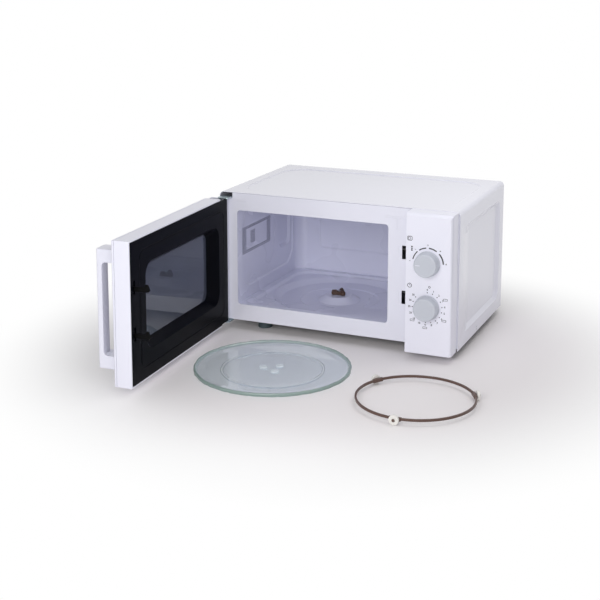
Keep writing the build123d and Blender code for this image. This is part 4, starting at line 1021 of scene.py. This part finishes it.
class OVEN_OT_turntable(bpy.types.Operator):
    """Turn the glass plate, and dress the roller ring, its wheels and the coupler"""

    bl_idname = "oven.turntable"
    bl_label = "Turntable"

    def execute(self, context):
        self.plate()
        dressed("roller_ring", 0.7 * MM)
        for index in (1, 2, 3):
            dressed(f"roller_wheel_{index}", context.scene.oven_sizes.moulded_edge)
        dressed("turntable_coupler", 0.8 * MM, material=coupler_plastic())
        dressed("turntable_shaft", 0.3 * MM)
        return {"FINISHED"}

    def plate(self):
        """Pressed glass plate: foot ring, flat middle, and a wall that rolls over into a rounded rim."""
        low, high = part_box("glass_plate")
        centre = Vector(((low.x + high.x) / 2, (low.y + high.y) / 2, 0))
        rim, tall = (high.x - low.x) / 2 / MM, high.z / MM
        under, over = 3.2, 6.8
        foot = [(79.4, under), (80.0, 2.8), (80.4, 0.5), (81.0, 0.0), (83.0, 0.0), (83.6, 0.5),
                (84.0, 2.8), (84.6, under)]
        outside = [(108.0, under), (112.0, 3.5), (rim - 3.4, 4.9), (rim - 1.3, 5.4), (rim - 0.3, 6.1),
                   (rim, 7.0)]
        roll = [(rim, tall - 2.0), (rim - 0.3, tall - 1.0), (rim - 1.0, tall - 0.3), (rim - 1.9, tall),
                (rim - 2.8, tall - 0.25), (rim - 3.5, tall - 0.9), (rim - 4.5, tall - 2.0)]
        inside = [(rim - 6.0, 8.5), (rim - 9.0, 7.9), (110.0, 7.1), (107.0, over)]
        middle = 60
        profile = ([(0, under), (middle, under)] + foot + outside + roll + inside
                   + [(middle, over), (0, over)])
        plate = lathe("glass_plate_pressed", centre, profile, 128)
        finish_mesh(plate, smooth=50)
        lug = join([self.lug(centre, 66.5 + 120 * index) for index in range(3)], "glass_plate_lugs")
        finish_mesh(lug, smooth=50)
        fit(plate, "glass_plate")
        fit(lug, "glass_plate", lug_glass(), replaces=False)

    def lug(self, centre, degrees):
        """Round lug in the plate's middle, which the coupler drives."""
        reach = 15.5
        profile = [(0, 0.7), (4.4, 0.7), (5.8, 1.2), (6.3, 2.4), (6.4, 6.9), (6.0, 7.2), (4.8, 7.25),
                   (0, 6.95)]
        turn = math.radians(degrees)
        spot = centre + Vector((math.cos(turn), math.sin(turn), 0)) * reach * MM
        return lathe("lug", spot, profile, 28)


class OVEN_OT_stage(bpy.types.Operator):
    """Lay the floor, hang the lamps and set up the camera"""

    bl_idname = "oven.stage"
    bl_label = "Stage"

    def execute(self, context):
        self.floor(context.scene.oven_colours.floor)
        self.world(context)
        self.lamp("key", (250, -2250, 800), (-20, 60, 110), 1300, 18.0)
        self.lamp("top", (330, 60, 800), (160, 100, 250), 500, 1.6)
        self.lamp("inner", (120, -560, 300), (-188, 180, 110), 260, 0.45)
        self.camera(context)
        context.scene.view_settings.view_transform = "Standard"
        return {"FINISHED"}

    def camera(self, context):
        """Camera in front and to the right; its shift lowers the view beyond the camera's tilt."""
        pitch, yaw = 9.64, 23.51
        camera = bpy.data.cameras.new("camera")
        holder = bpy.data.objects.new("camera", camera)
        context.scene.collection.objects.link(holder)
        holder.location = at(749.5, -1872.5, 680.5)
        holder.rotation_euler = (math.radians(90 - pitch), 0, math.radians(yaw))
        camera.sensor_width = 36
        camera.lens = 72.8
        camera.shift_y = -0.25
        camera.clip_end = 50
        context.scene.camera = holder

    def floor(self, hexes):
        """Pale floor; away from the oven, the eye, gloss and glass see it fade to a white glow."""
        near, far = 0.3, 0.62
        deselect()
        bpy.ops.mesh.primitive_plane_add(size=12, location=(0, 0, 0))
        floor = bpy.context.object
        named(floor, "floor")
        place(floor)
        material, tree, shader, spot = start("pale_studio_floor")
        fade = add(tree, "MapRange", {"From Min": near, "From Max": far},
                   {"Value": from_axis(tree, spot, at(20, -20, 0))},
                   interpolation_type="SMOOTHSTEP").outputs["Result"]
        wire(tree, shader, {"Base Color": blend(tree, linear(hexes), linear("FFFFFF"), fade)})
        tune(shader, {"Roughness": 0.6, "Specular IOR Level": 0.2})
        glow = add(tree, "Emission", {"Color": (1, 1, 1, 1), "Strength": 1.0})
        seen = any_ray(tree, "Camera", "Glossy", "Transmission")
        share = add(tree, "Math", None, {0: seen, 1: fade}, operation="MULTIPLY").outputs[0]
        surface(tree, share, shader, glow)
        floor.data.materials.append(material)

    def world(self, context):
        """White surround to the eye, gloss and glass, which lights the pieces more softly."""
        world = bpy.data.worlds.new("studio")
        context.scene.world = world
        world.use_nodes = True
        tree = world.node_tree
        white = tree.nodes["Background"]
        tune(white, {"Color": (1, 1, 1, 1), "Strength": 1.0})
        soft = add(tree, "Background", {"Color": linear("F8F8FC"), "Strength": 0.44})
        surface(tree, any_ray(tree, "Camera", "Glossy", "Transmission"), soft, white)

    def lamp(self, name, spot, aim, size, power):
        """Square area lamp that hangs at a spot and points at another; size in mm, power in watts."""
        light = bpy.data.lights.new(name, "AREA")
        light.size = size * MM
        light.energy = power
        holder = bpy.data.objects.new(name, light)
        bpy.context.scene.collection.objects.link(holder)
        holder.location = at(*spot)
        way = at(*aim) - at(*spot)
        holder.rotation_euler = way.to_track_quat("-Z", "Y").to_euler()


class OVEN_PT_panel(bpy.types.Panel):
    """Steps that dress the oven, in their order"""

    bl_idname = "OVEN_PT_panel"
    bl_label = "Microwave oven"
    bl_space_type = "VIEW_3D"
    bl_region_type = "UI"
    bl_category = "Oven"

    def draw(self, context):
        for group in (context.scene.oven_colours, context.scene.oven_sizes):
            box = self.layout.box()
            for key in group.bl_rna.properties.keys():
                if key not in ("rna_type", "name"):
                    box.prop(group, key)
        for step in steps:
            self.layout.operator(step.bl_idname)


steps = (OVEN_OT_finishes, OVEN_OT_stage, OVEN_OT_cabinet, OVEN_OT_cavity, OVEN_OT_panel, OVEN_OT_knobs,
         OVEN_OT_door, OVEN_OT_latch, OVEN_OT_turntable)
classes = (OvenColours, OvenSizes) + steps + (OVEN_PT_panel,)


def register():
    for kind in classes:
        bpy.utils.register_class(kind)
    bpy.types.Scene.oven_colours = bpy.props.PointerProperty(type=OvenColours)
    bpy.types.Scene.oven_sizes = bpy.props.PointerProperty(type=OvenSizes)


def unregister():
    del bpy.types.Scene.oven_sizes
    del bpy.types.Scene.oven_colours
    for kind in reversed(classes):
        bpy.utils.unregister_class(kind)


def main():
    register()
    bpy.ops.oven.finishes()
    bpy.ops.oven.stage()
    bpy.ops.oven.cabinet()
    bpy.ops.oven.cavity()
    bpy.ops.oven.panel()
    bpy.ops.oven.knobs()
    bpy.ops.oven.door()
    bpy.ops.oven.latch()
    bpy.ops.oven.turntable()
    deselect()


if __name__ == "__main__":
    main()
